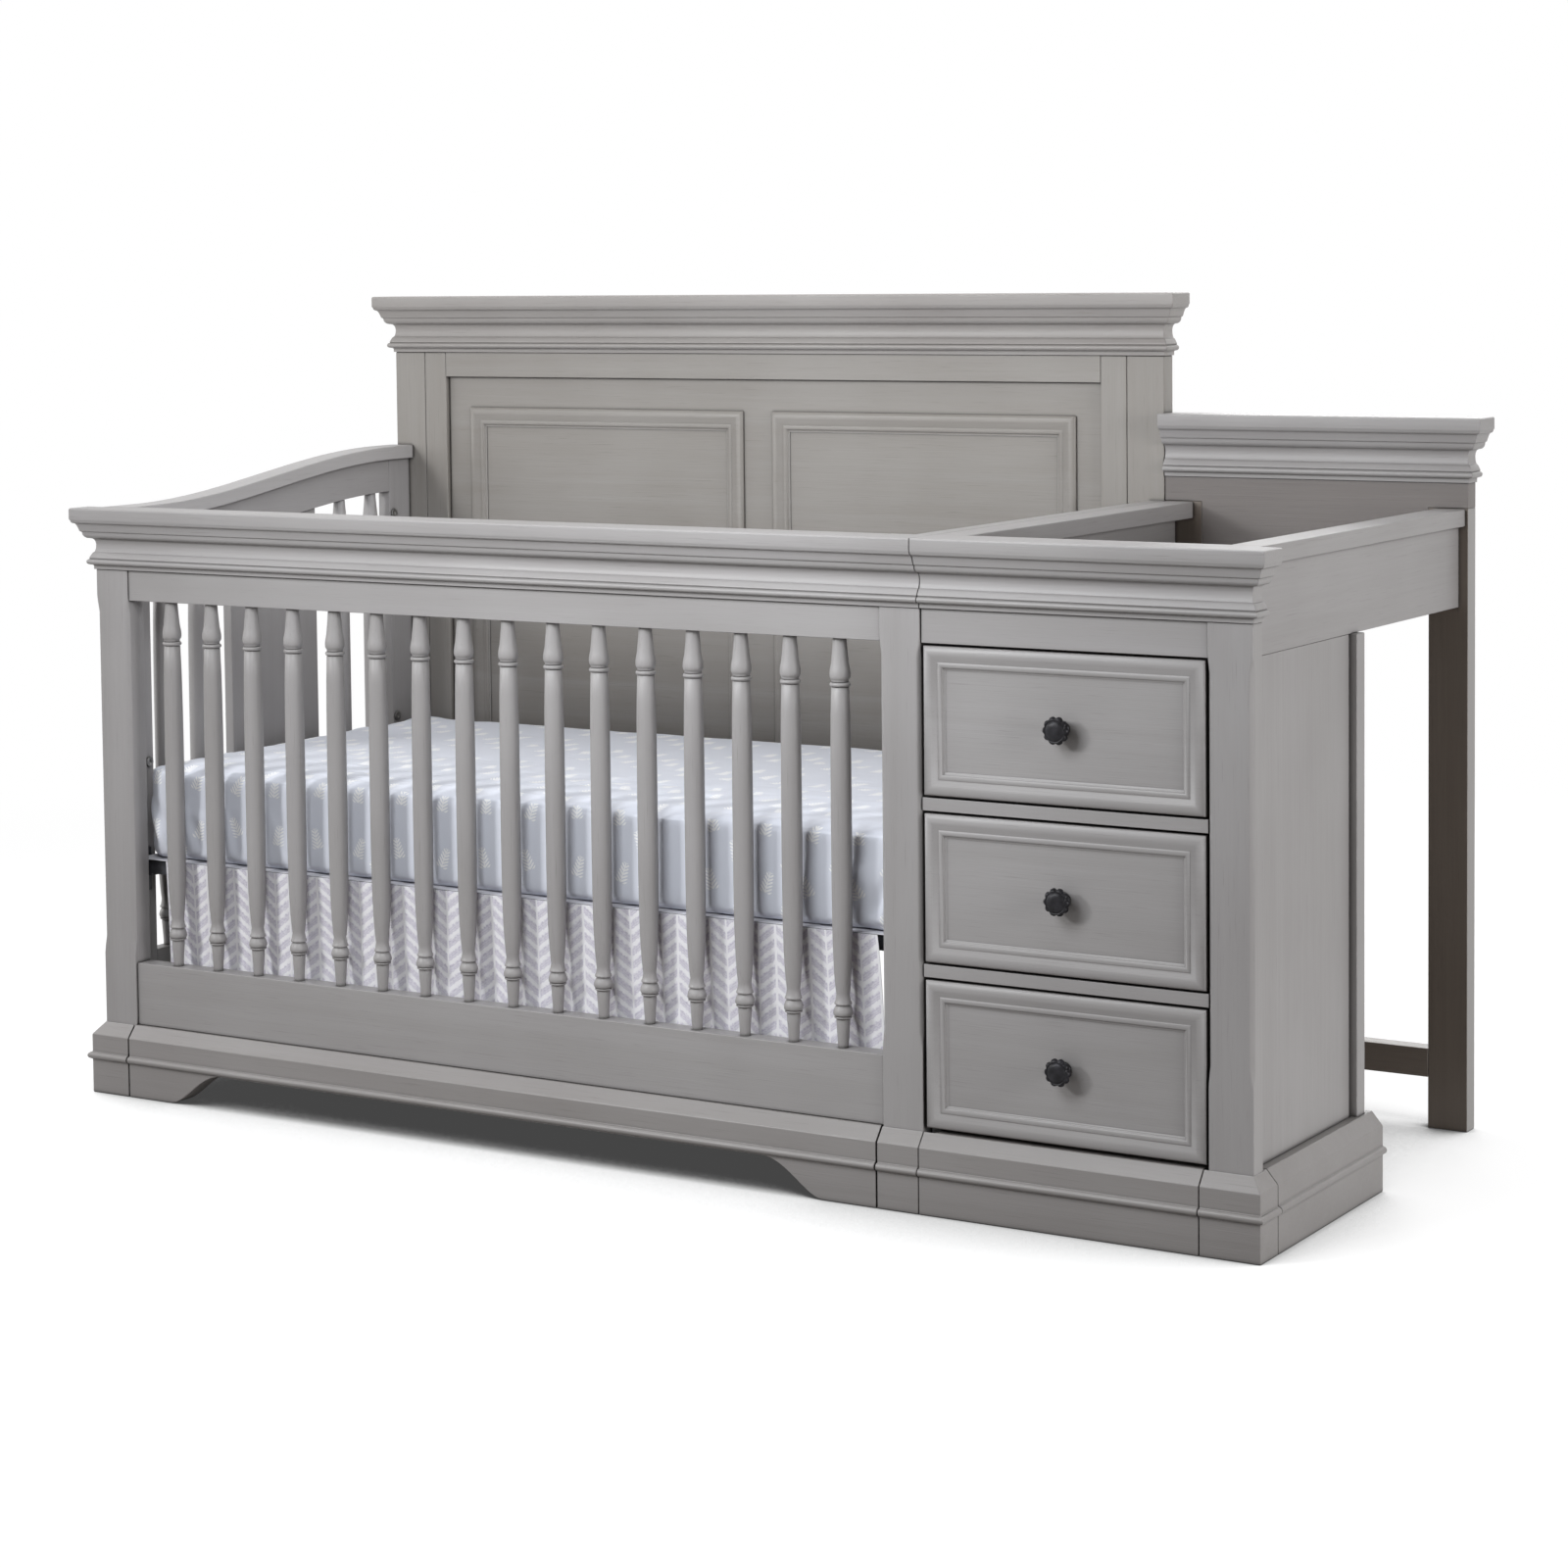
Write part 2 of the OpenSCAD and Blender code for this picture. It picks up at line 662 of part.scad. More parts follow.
// The flat panel in the middle of an end, cut to the curve of the rail above it.
module left_end_panel() {
  mid = (post_t + head_y) / 2;
  low = base_h + end_low_h;
  y0 = mid - end_panel_w / 2;
  y1 = mid + end_panel_w / 2;
  color(stone) in_place()
    run_x(inner_left - end_panel_inset - end_panel_t, inner_left - end_panel_inset, concat(
      [for (i = [0:10]) let (y = y0 + (y1 - y0) * i / 10)
        [y, cap_top(y) - cap_h - end_rail_h - curve_gap]],
      [[y1, low], [y0, low]]));
}

module left_end_spindles() {
  color(stone) in_place()
    for (y = end_spindle_ys())
      translate([end_inset + end_t / 2, y, 0])
        spindle(base_h + end_low_h,
          min(cap_top(y - neck_d / 2), cap_top(y + neck_d / 2)) - cap_h - end_rail_h - curve_gap);
}

// The right end stands against the chest unit, so its rails are straight.
module right_end_frame() {
  top = rail_h - cap_h;
  x0 = inner_right;
  x1 = crib_len - end_inset;
  color(stone) in_place() {
    for (y0 = [post_t, head_y - stile_w])
      block([x0, y0, base_h], [x1, y0 + stile_w, top]);
    for (z0 = [base_h, top - end_rail_h])
      block([x0, post_t + stile_w, z0],
        [x1, head_y - stile_w, z0 + (z0 == base_h ? end_low_h : end_rail_h)]);
  }
}

module right_end_cap() {
  color(stone) in_place()
    block([inner_right, post_t, rail_h - cap_h], [crib_len, head_y, rail_h]);
}

module right_end_panel() {
  mid = (post_t + head_y) / 2;
  x0 = inner_right + end_panel_inset;
  color(stone) in_place()
    block([x0, mid - end_panel_w / 2, base_h + end_low_h],
      [x0 + end_panel_t, mid + end_panel_w / 2, rail_h - cap_h - end_rail_h]);
}

module right_end_spindles() {
  color(stone) in_place()
    for (y = end_spindle_ys())
      translate([crib_len - end_inset - end_t / 2, y, 0])
        spindle(base_h + end_low_h, rail_h - cap_h - end_rail_h);
}

// ---- Headboard ------------------------------------------------------------------------------

module headboard_posts() {
  color(stone) in_place()
    for (x = [0, crib_len - post_w])
      block([x, head_y, 0], [x + post_w, crib_depth, head_crown_z]);
}

module headboard_stiles() {
  color(stone) in_place()
    for (x = [post_w, crib_len - post_w - head_stile_w])
      block([x, head_y, head_low], [x + head_stile_w, crib_depth, head_crown_z]);
}

module headboard_top_rail() {
  x0 = post_w + head_stile_w;
  color(stone) in_place()
    block([x0, head_y, head_crown_z - head_rail_h], [crib_len - x0, crib_depth, head_crown_z]);
}

module headboard_bottom_rail() {
  x0 = post_w + head_stile_w;
  color(stone) in_place()
    block([x0, head_y, head_low], [crib_len - x0, crib_depth, head_low + head_low_h]);
}

module headboard_panel() {
  x0 = post_w + head_stile_w;
  y0 = head_y + panel_inset;
  color(stone) in_place()
    block([x0, y0, head_low + head_low_h],
      [crib_len - x0, y0 + panel_t, head_crown_z - head_rail_h]);
}

// A rectangular frame of moulding in the plane of X and Y, mitred at its corners. The face is a
// list of [distance from the outer edge, height] points.
module mitred_frame(w, h, width, face) {
  for (side = [0:3]) {
    run = side % 2 == 0 ? w : h;
    translate([side == 1 || side == 2 ? w : 0, side > 1 ? h : 0, 0]) rotate(side * 90)
      intersection() {
        rotate([90, 0, 90]) linear_extrude(run) polygon(face);
        linear_extrude(width) polygon([[0, 0], [run, 0], [run - width, width], [width, width]]);
      }
  }
}

// The moulding of drawer edges and frames, from its outer edge in: a round-over, a flat crest, a
// long slope, a narrow bead and a step. Its [distance, height] points are shares of its sizes.
function worked_edge(width, raise) = [
  for (p = [[0, 0], [0, 0.32], [0.04, 0.56], [0.12, 0.82], [0.26, 1], [0.36, 1], [0.54, 0.72],
    [0.67, 0.52], [0.7, 0.62], [0.78, 0.67], [0.86, 0.57], [0.9, 0.27], [1, 0.2], [1, 0]])
    [width * p[0], raise * p[1]]
];

// Two raised frames of picture moulding on the panel, one beside the other.
module headboard_mouldings() {
  x0 = post_w + head_stile_w + frame_margin;
  low = head_low + head_low_h + frame_margin;
  top = head_crown_z - head_rail_h - frame_margin - frame_drop;
  w = (crib_len - 2 * x0 - frame_space) / 2;
  color(stone) in_place()
    for (x = [x0, x0 + w + frame_space])
      translate([x, head_y + panel_inset, low]) rotate([90, 0, 0])
        mitred_frame(w, top - low, frame_w, worked_edge(frame_w, frame_raise));
}

// ---- Mattress and its support ---------------------------------------------------------------

// Steel angle: an upright outer wall and a flange along its lower edge, as a [depth, z] outline.
function angle_section() = [
  [0, deck_z - bar_h], [bar_h, deck_z - bar_h], [bar_h, deck_z - bar_h + bar_wall],
  [bar_wall, deck_z - bar_h + bar_wall], [bar_wall, deck_z], [0, deck_z]
];

module mattress_frame() {
  section = angle_section();
  color(steel) in_place() {
    run_x(frame_x[0], frame_x[1], [for (p = section) [frame_y[0] + p[0], p[1]]]);
    run_x(frame_x[0], frame_x[1], [for (p = section) [frame_y[1] - p[0], p[1]]]);
    run_y(frame_y[0], frame_y[1], [for (p = section) [frame_x[0] + p[0], p[1]]]);
    run_y(frame_y[0], frame_y[1], [for (p = section) [frame_x[1] - p[0], p[1]]]);
  }
}

// Flat steel straps that cross between the bars of the frame.
module mattress_straps() {
  x0 = frame_x[0] + bar_wall;
  x1 = frame_x[1] - bar_wall;
  y0 = frame_y[0] + bar_wall;
  y1 = frame_y[1] - bar_wall;
  pitch = (x1 - x0) / (strap_count + 1);
  low = deck_z - strap_t;
  color(steel) in_place() union() {
    for (i = [1:strap_count])
      block([x0 + i * pitch - strap_w / 2, y0, low], [x0 + i * pitch + strap_w / 2, y1, deck_z]);
    for (t = [0.2, 0.5, 0.8])
      block([x0, y0 + (y1 - y0) * t - strap_w / 2, low],
        [x1, y0 + (y1 - y0) * t + strap_w / 2, deck_z]);
  }
}

// Four steel brackets on the end stiles; the frame rests on their ledges.
module frame_brackets() {
  low = deck_z - bar_h;
  foot = low - bracket_w;
  tip = deck_z + bracket_rise;
  color(steel) in_place()
    for (side = [0, 1], y = [frame_y[0], frame_y[1] - bracket_w])
      translate([side == 0 ? inner_left : inner_right, 0, 0]) mirror([side, 0, 0])
        run_y(y, y + bracket_w, [
          [0, foot], [bracket_t, foot], [bracket_t, low - bracket_t], [bracket_w, low - bracket_t],
          [bracket_w, low], [bracket_t, low], [bracket_t, tip], [0, tip]
        ]);
}

// Round bolt heads with a hexagon socket on the inner faces of the stiles.
module end_bolts() {
  head_h = bolt_d * 0.21;
  low = base_h + bolt_low;
  top = rail_h - bolt_drop;
  color(iron) in_place()
    for (side = [0, 1], y = [post_t + bolt_inset, head_y - bolt_inset], z = [low, (low + top) / 2, top])
      translate([side == 0 ? inner_left : inner_right, y, z]) rotate([0, side == 0 ? 90 : -90, 0])
        difference() {
          cylinder(d = bolt_d, h = head_h);
          translate([0, 0, head_h / 3]) cylinder(d = bolt_d * 0.43, h = head_h, $fn = 6);
        }
}

// The wave of the skirt's folds at a distance x along it, from 0 to 1.
function fold_wave(x) =
  let (a = 360 * fold_count * x / skirt_len)
  0.5 + 0.32 * sin(a) + 0.13 * sin(2.3 * a + 40) + 0.05 * sin(0.41 * a);

// The skirt's place behind the bottom rail, at a distance x along it and a height z.
function skirt_y(x, z) =
  post_t + skirt_gap + fold_depth * max(0, deck_z - z) / (deck_z - hem_z) * fold_wave(x);

// A deck cloth under the mattress and a panel, sewn to its front edge, that hangs in soft folds.
module crib_skirt() {
  cols = 100;
  rows = 5;
  cloth = 1.6;
  tuck = 2;
  sewn = 0.2;
  front = post_t + skirt_gap + cloth + sewn;
  per_side = (cols + 1) * (rows + 1);
  x0 = mattress_mid_x - skirt_len / 2;
  points = [for (s = [0, 1], r = [0:rows], c = [0:cols])
    let (x = skirt_len * c / cols, z = hem_z + (deck_z + deck_cloth - hem_z) * r / rows)
    [x0 + x, skirt_y(x, z) + s * cloth, z]];
  function at(s, r, c) = s * per_side + r * (cols + 1) + c;
  faces = concat(
    [for (r = [0:rows - 1], c = [0:cols - 1]) each [
      [at(0, r, c), at(0, r + 1, c), at(0, r + 1, c + 1)],
      [at(0, r, c), at(0, r + 1, c + 1), at(0, r, c + 1)],
      [at(1, r, c), at(1, r + 1, c + 1), at(1, r + 1, c)],
      [at(1, r, c), at(1, r, c + 1), at(1, r + 1, c + 1)]]],
    [for (c = [0:cols - 1]) each [
      [at(0, 0, c), at(0, 0, c + 1), at(1, 0, c + 1)],
      [at(0, 0, c), at(1, 0, c + 1), at(1, 0, c)],
      [at(0, rows, c), at(1, rows, c + 1), at(0, rows, c + 1)],
      [at(0, rows, c), at(1, rows, c), at(1, rows, c + 1)]]],
    [for (r = [0:rows - 1]) each [
      [at(0, r, 0), at(1, r, 0), at(1, r + 1, 0)],
      [at(0, r, 0), at(1, r + 1, 0), at(0, r + 1, 0)],
      [at(0, r, cols), at(1, r + 1, cols), at(1, r, cols)],
      [at(0, r, cols), at(0, r + 1, cols), at(1, r + 1, cols)]]]
  );
  color([0.72, 0.71, 0.74]) in_place() {
    polyhedron(points, faces);
    block([frame_x[0] + tuck, front, deck_z],
      [frame_x[1] - tuck, frame_y[1] - tuck, deck_z + deck_cloth]);
  }
}

// One loop of points round the mattress at a height z, drawn in by inset on every side.
function mattress_loop(inset, z) =
  let (
    r = 55,
    draw = 4,
    a = mattress_len / 2 - inset,
    b = mattress_w / 2 - inset,
    ra = max(8, r - inset / 2),
    corner = [for (i = [0:4]) [a - ra + ra * cos(i * 22.5), b - ra + ra * sin(i * 22.5)]],
    quarter = concat(
      [for (t = [0, 0.5]) [a - draw * cos(90 * t), (b - ra) * t]],
      corner,
      [for (t = [0.25, 0.5, 0.75]) [(a - ra) * (1 - t), b - draw * sin(90 * t)]]
    ),
    n = len(quarter)
  )
  [for (q = [0:3], i = [0:n - 1])
    let (k = q % 2 == 0 ? i : n - 1 - i, p = quarter[k])
    if (!(q == 1 && p[0] == 0) && !(q == 3 && (p[1] == 0)))
      [mattress_mid_x + (q == 1 || q == 2 ? -p[0] : p[0]),
       mattress_mid_y + (q > 1 ? -p[1] : p[1]), z]];

// A padded slab: rounded edges, sides drawn in between the corners and a low crown on top.
module mattress() {
  edge = 20;
  crown_rise = 7;
  side_h = mattress_h - crown_rise;
  sides = [for (i = [0:6]) let (a = -90 + 30 * i)
    mattress_loop(edge * (1 - cos(a)) * 0.8,
      mattress_z + (i < 3 ? edge * (1 + sin(a)) : i == 3 ? side_h / 2 : side_h - edge * (1 - sin(a))))];
  tops = [for (t = [0.25, 0.5, 0.75]) mattress_loop(edge * 0.8 + t * mattress_w * 0.38,
    mattress_z + side_h + crown_rise * sin(90 * t))];
  loops = concat(sides, tops);
  n = len(loops[0]);
  rings = len(loops);
  low = [mattress_mid_x, mattress_mid_y, mattress_z];
  high = [mattress_mid_x, mattress_mid_y, mattress_z + mattress_h];
  points = concat([for (loop = loops) each loop], [low, high]);
  faces = concat(
    [for (r = [0:rings - 2], i = [0:n - 1]) let (j = (i + 1) % n) each [
      [r * n + i, r * n + n + j, r * n + j],
      [r * n + i, r * n + n + i, r * n + n + j]]],
    [for (i = [0:n - 1]) [i, (i + 1) % n, rings * n]],
    [for (i = [0:n - 1]) [(rings - 1) * n + (i + 1) % n, (rings - 1) * n + i, rings * n + 1]]
  );
  color([0.78, 0.80, 0.84]) in_place() polyhedron(points, faces);
}

// ---- Chest ----------------------------------------------------------------------------------

module chest_corner_post() {
  color(stone) in_place() difference() {
    block([corner_x, 0, 0], [right_x, corner_t, crown_z]);
    stopped_chamfer(right_x, 0, chamfer_low, apron_z + chamfer_past);
    stopped_chamfer(corner_x, 0, chamfer_low, apron_z + chamfer_past);
  }
}

module chest_left_side() {
  color(stone) in_place()
    block([unit_x, drawer_t, 0], [unit_x + board_t, chest_d, apron_z]);
}

module chest_right_side() {
  color(stone) in_place()
    block([side_x - board_t, corner_t, 0],
      [side_x, chest_d - rear_stile_w - side_groove, apron_z]);
}

module chest_rear_stile() {
  color(stone) in_place()
    block([side_x - board_t, chest_d - rear_stile_w, 0], [right_x - rear_inset, chest_d, apron_z]);
}

module chest_back() {
  color(stone) in_place()
    block([unit_x + board_t, chest_d - back_panel_t, base_h - board_t],
      [side_x - board_t, chest_d, apron_z]);
}

module chest_bottom() {
  color(stone) in_place()
    block([unit_x + board_t, corner_t, base_h - board_t],
      [side_x - board_t, chest_d - back_panel_t, base_h]);
}

// The rail between the crown and the top drawer, rebated behind the crown.
module chest_apron() {
  color(stone) in_place() run_x(unit_x, corner_x, [
    [apron_inset, apron_z], [corner_t, apron_z], [corner_t, rail_h - slab_h],
    [crown_back, rail_h - slab_h], [crown_back, crown_z], [apron_inset, crown_z]
  ]);
}

// The chest's base: a front length, a block round the corner and a length along the side.
module chest_base() {
  face = base_face();
  block_x = corner_x - corner_lap;
  reach = base_out + base_bead_out + 1;
  side_section = concat([for (p = face) [right_x + p[0], p[1]]], [[side_x, base_h], [side_x, 0]]);
  color(stone) in_place() {
    difference() {
      run_x(unit_x, block_x, base_section_y(corner_t));
      block([unit_x - 1, 0, -1], [unit_x + board_t, corner_t + 1, base_h + 1]);
    }
    intersection() {
      run_x(block_x + base_seam / 2, right_x + reach, base_section_y(corner_return));
      run_y(-reach, corner_return, concat(
        [for (p = face) [right_x + p[0], p[1]]], [[block_x, base_h], [block_x, 0]]));
      difference() {
        block([block_x, -reach, 0], [right_x + reach, corner_return, base_h]);
        block([block_x - 1, 0, -1], [right_x, corner_t, base_h + 1]);
        block([block_x - 1, corner_t - 1, -1], [side_x, corner_return + 1, base_h + 1]);
      }
    }
    difference() {
      run_y(corner_return + base_seam / 2, chest_d + base_tail, side_section);
      block([side_x - 1, chest_d - rear_stile_w, -1],
        [right_x - rear_inset, chest_d, base_h + 1]);
    }
  }
}

// Rails between the drawers, flush with the frame.
module drawer_dividers() {
  color(stone) in_place()
    for (i = [1, 2]) {
      z = drawer_low + i * drawer_pitch;
      block([unit_x, apron_inset, z - drawer_pitch + drawer_h + divider_gap],
        [corner_x, drawer_t, z - divider_gap]);
    }
}

// Wooden runners: an upright leg beside each box and a ledge under it.
module drawer_runners() {
  y1 = chest_d - back_panel_t;
  color(raw_wood) in_place()
    for (i = [0:2]) {
      z = drawer_low + i * drawer_pitch + box_lift;
      for (side = [0, 1]) {
        wall = side == 0 ? unit_x + board_t : side_x - board_t;
        leg = side == 0 ? box_x[0] - run_gap : box_x[1] + run_gap;
        tip = side == 0 ? box_x[0] + runner_ledge : box_x[1] - runner_ledge;
        run_y(corner_t, y1, [
          [wall, z - runner_ledge], [tip, z - runner_ledge], [tip, z - run_gap],
          [leg, z - run_gap], [leg, z + runner_rise], [wall, z + runner_rise]
        ]);
      }
    }
}

// ---- Drawers --------------------------------------------------------------------------------

// A drawer front: a flat field inside a mitred moulded edge.
module drawer_front(i) {
  z = drawer_low + i * drawer_pitch;
  color(stone) in_place() union() {
    block([drawer_x, field_y, z], [drawer_x + drawer_w, box_y, z + drawer_h]);
    translate([drawer_x, field_y, z]) rotate([90, 0, 0])
      mitred_frame(drawer_w, drawer_h, edge_w, worked_edge(edge_w, edge_raise));
  }
}

// A drawer box: two sides, a back and an inner front, with a captive bottom.
module drawer_box(i) {
  z = drawer_low + i * drawer_pitch + box_lift;
  y1 = box_y + box_d;
  low = z + bottom_lift;
  inner = [box_x[0] + box_wall, box_x[1] - box_wall];
  color(raw_wood) in_place() {
    block([box_x[0], box_y, z], [inner[0], y1, z + box_h]);
    block([inner[1], box_y, z], [box_x[1], y1, z + box_h]);
    block([inner[0], box_y, z], [inner[1], box_y + box_wall, z + box_h]);
    block([inner[0], y1 - box_wall, z], [inner[1], y1, z + box_h]);
    block([inner[0], box_y + box_wall, low], [inner[1], y1 - box_wall, low + bottom_t]);
  }
}

// A mushroom knob on a small round plate.
module drawer_knob(i) {
  z = drawer_low + i * drawer_pitch + drawer_h / 2;
  r = knob_d / 2;
  color(iron) in_place()
    translate([drawer_mid, field_y, z]) rotate([90, 0, 0]) rotate_extrude()
      polygon(concat(
        [[0, 0], [r * 0.55, 0], [r * 0.55, r * 0.11], [r * 0.4, r * 0.2], [r * 0.34, knob_out * 0.42]],
        [[r * 0.55, knob_out * 0.5], [r * 0.94, knob_out * 0.56], [r, knob_out * 0.64]],
        [[r, knob_out * 0.76], [r * 0.86, knob_out * 0.9], [r * 0.5, knob_out * 0.98]],
        [[0, knob_out]]
      ));
}

module bottom_drawer_front() drawer_front(0);
module bottom_drawer_box() drawer_box(0);
module bottom_drawer_knob() drawer_knob(0);
module middle_drawer_front() drawer_front(1);
module middle_drawer_box() drawer_box(1);
module middle_drawer_knob() drawer_knob(1);
module top_drawer_front() drawer_front(2);
module top_drawer_box() drawer_box(2);
module top_drawer_knob() drawer_knob(2);

// ---- Changing tray and back -----------------------------------------------------------------

// The flat strips along both sides of the tray.
module tray_rims() {
  color(stone) in_place() {
    block([unit_x, top_board_d, rail_h - rim_h], [unit_x + rim_w, back_y, rail_h]);
    block([right_x - rim_inset - rim_w, top_board_d, rail_h - rim_h],
      [right_x - rim_inset, back_y, rail_h]);
  }
}

module tray_left_wall() {
  color(stone) in_place()
    block([unit_x, corner_t, apron_z], [unit_x + wall_t, back_y, rail_h - rim_h]);
}

module tray_right_apron() {
  color(stone) in_place()
    block([wall_x - wall_t, corner_t, apron_z], [wall_x, back_y, rail_h - rim_h]);
}

module tray_board() {
  top = rail_h - tray_depth;
  color(stone) in_place()
    block([unit_x + wall_t, corner_t, top - tray_t], [wall_x - wall_t, back_y, top]);
}

module changer_back_legs() {
  color(shade) in_place()
    for (x = [unit_x, right_x - leg_w])
      block([x, back_y, 0], [x + leg_w, crib_depth, back_crown_z - rail_over]);
}

// The back rail lies over the legs under the crown and drops between them behind the tray.
module changer_back_rail() {
  over_z = back_crown_z - rail_over;
  low_z = back_crown_z - back_rail_h;
  x0 = unit_x + leg_w;
  x1 = right_x - leg_w;
  color(stone) in_place() run_y(back_y, crib_depth, [
    [unit_x, back_crown_z], [unit_x, over_z], [x0, over_z], [x0, low_z],
    [x1, low_z], [x1, over_z], [right_x, over_z], [right_x, back_crown_z]
  ]);
}

module changer_stretcher() {
  color(shade) in_place()
    block([unit_x + leg_w, back_y, stretcher_z],
      [right_x - leg_w, crib_depth, stretcher_z + stretcher_h]);
}

// ---- Nodes ----------------------------------------------------------------------------------

front_left_post();
front_right_post();
front_top_rail();
front_crown();
front_bottom_rail();
front_spindles();
front_base();
front_plinths();
left_end_stiles();
left_end_cap();
left_end_top_rail();
left_end_bottom_rail();
left_end_panel();
left_end_spindles();
right_end_frame();
right_end_cap();
right_end_panel();
right_end_spindles();
headboard_posts();
headboard_stiles();
headboard_crown();
headboard_top_rail();
headboard_bottom_rail();
headboard_panel();
headboard_mouldings();
mattress_frame();
mattress_straps();
frame_brackets();
end_bolts();
crib_skirt();
mattress();
chest_corner_post();
chest_left_side();
chest_right_side();
chest_rear_stile();
chest_back();
chest_bottom();
chest_apron();
chest_crown();
chest_base();
drawer_dividers();
drawer_runners();
top_drawer_front();
top_drawer_box();
top_drawer_knob();
middle_drawer_front();
middle_drawer_box();
middle_drawer_knob();
bottom_drawer_front();
bottom_drawer_box();
bottom_drawer_knob();
tray_rims();
tray_left_wall();
tray_right_apron();
tray_board();
changer_crown();
changer_back_rail();
changer_back_legs();
changer_stretcher();
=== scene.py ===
# The looks of the crib with its attached changing chest. Everything is in metres and in the
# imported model's own frame: X runs from the crib to the chest, Y to the back and Z is up.
import math

import bpy
from mathutils import Matrix, Vector, noise


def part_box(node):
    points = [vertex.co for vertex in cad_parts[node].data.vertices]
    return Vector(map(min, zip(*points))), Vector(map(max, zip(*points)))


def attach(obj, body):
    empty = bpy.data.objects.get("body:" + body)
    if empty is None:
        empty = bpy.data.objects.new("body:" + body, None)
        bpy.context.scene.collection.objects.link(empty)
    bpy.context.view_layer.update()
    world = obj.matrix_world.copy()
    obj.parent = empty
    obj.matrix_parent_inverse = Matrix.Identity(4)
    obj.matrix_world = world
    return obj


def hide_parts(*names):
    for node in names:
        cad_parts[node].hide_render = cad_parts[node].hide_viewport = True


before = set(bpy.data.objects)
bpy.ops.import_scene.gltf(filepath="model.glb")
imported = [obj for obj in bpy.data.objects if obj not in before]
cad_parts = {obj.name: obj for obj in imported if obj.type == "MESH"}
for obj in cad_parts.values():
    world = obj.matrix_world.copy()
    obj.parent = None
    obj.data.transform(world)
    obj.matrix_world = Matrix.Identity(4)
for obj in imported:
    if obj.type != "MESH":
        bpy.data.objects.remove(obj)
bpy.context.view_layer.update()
scene = bpy.context.scene

# ---- Camera ---------------------------------------------------------------------------------
# A long lens at chest height, in front of the piece and well to its right, turned so that the
# front, the right side and the top rims all show. The film is shifted, so uprights stay upright.
turn = Matrix.Rotation(math.radians(31.37), 4, "Z")
tilt = Matrix.Rotation(math.radians(90 - 3.63), 4, "X")
lean = Matrix.Rotation(math.radians(-0.595), 4, "Z")
bpy.ops.object.camera_add(
    location=(2.6239, -4.2382, 1.2044), rotation=(turn @ tilt @ lean).to_euler()
)
camera = bpy.context.object
camera.name = "product_camera"
camera.data.sensor_width = 36
camera.data.lens = 81.2
camera.data.shift_x = 0.0008
camera.data.shift_y = -0.1877
camera.data.clip_end = 200
scene.camera = camera

# ---- Studio floor and lamps -----------------------------------------------------------------
# A plain white studio: a pale floor that keeps the soft shadow and runs out to plain white, and
# square softboxes overhead, in front, at both sides and behind. The surround is plain white to
# the camera, but lights the furniture only faintly.
scene.view_settings.view_transform = "Standard"


def calc(tree, operation, first, second=0.0):
    """One Math node; first and second are sockets or numbers."""
    step = tree.nodes.new("ShaderNodeMath")
    step.operation = operation
    for value, at in ((first, 0), (second, 1)):
        if isinstance(value, bpy.types.NodeSocket):
            tree.links.new(value, step.inputs[at])
        else:
            step.inputs[at].default_value = value
    return step.outputs[0]


def ramp(tree, value, low, high, bottom=0.0, top=1.0):
    """Stretches a value so that low becomes bottom and high becomes top, clamped."""
    stretch = tree.nodes.new("ShaderNodeMapRange")
    stretch.inputs["From Min"].default_value = low
    stretch.inputs["From Max"].default_value = high
    stretch.inputs["To Min"].default_value = bottom
    stretch.inputs["To Max"].default_value = top
    tree.links.new(value, stretch.inputs["Value"])
    return stretch.outputs["Result"]


def mix_colour(tree, amount, under, over):
    """A colour mix of two sockets or colours; returns the output socket."""
    mix = tree.nodes.new("ShaderNodeMix")
    mix.data_type = "RGBA"
    for value, at in ((amount, 0), (under, 6), (over, 7)):
        if isinstance(value, bpy.types.NodeSocket):
            tree.links.new(value, mix.inputs[at])
        else:
            mix.inputs[at].default_value = value
    return mix.outputs[2]


def nearness(tree, distance, inside=False, samples=6):
    """Ambient occlusion: low in corners, or low along edges when it looks inside the solid."""
    corner = tree.nodes.new("ShaderNodeAmbientOcclusion")
    corner.samples = samples
    corner.inside = inside
    corner.inputs["Distance"].default_value = distance
    return corner.outputs["AO"]


def seen_directly(tree):
    """1 for what the camera, a reflection or a clear material sees, 0 for bounced light."""
    path = tree.nodes.new("ShaderNodeLightPath")
    total = path.outputs["Is Camera Ray"]
    for ray in ("Is Glossy Ray", "Is Transmission Ray"):
        total = calc(tree, "MAXIMUM", total, path.outputs[ray])
    return total


surround = bpy.data.worlds.new("white_surround")
surround.use_nodes = True
scene.world = surround
tree = surround.node_tree
tree.nodes.clear()
lit = tree.nodes.new("ShaderNodeBackground")
lit.inputs["Color"].default_value = (0.98, 0.98, 1.0, 1)
lit.inputs["Strength"].default_value = 0.01
plain = tree.nodes.new("ShaderNodeBackground")
plain.inputs["Color"].default_value = (1, 1, 1, 1)
plain.inputs["Strength"].default_value = 1.0
choice = tree.nodes.new("ShaderNodeMixShader")
out = tree.nodes.new("ShaderNodeOutputWorld")
tree.links.new(seen_directly(tree), choice.inputs["Fac"])
tree.links.new(lit.outputs[0], choice.inputs[1])
tree.links.new(plain.outputs[0], choice.inputs[2])
tree.links.new(choice.outputs[0], out.inputs["Surface"])

floor_paint = bpy.data.materials.new("studio_floor")
floor_paint.use_nodes = True
tree = floor_paint.node_tree
tree.nodes.clear()
seen = seen_directly(tree)
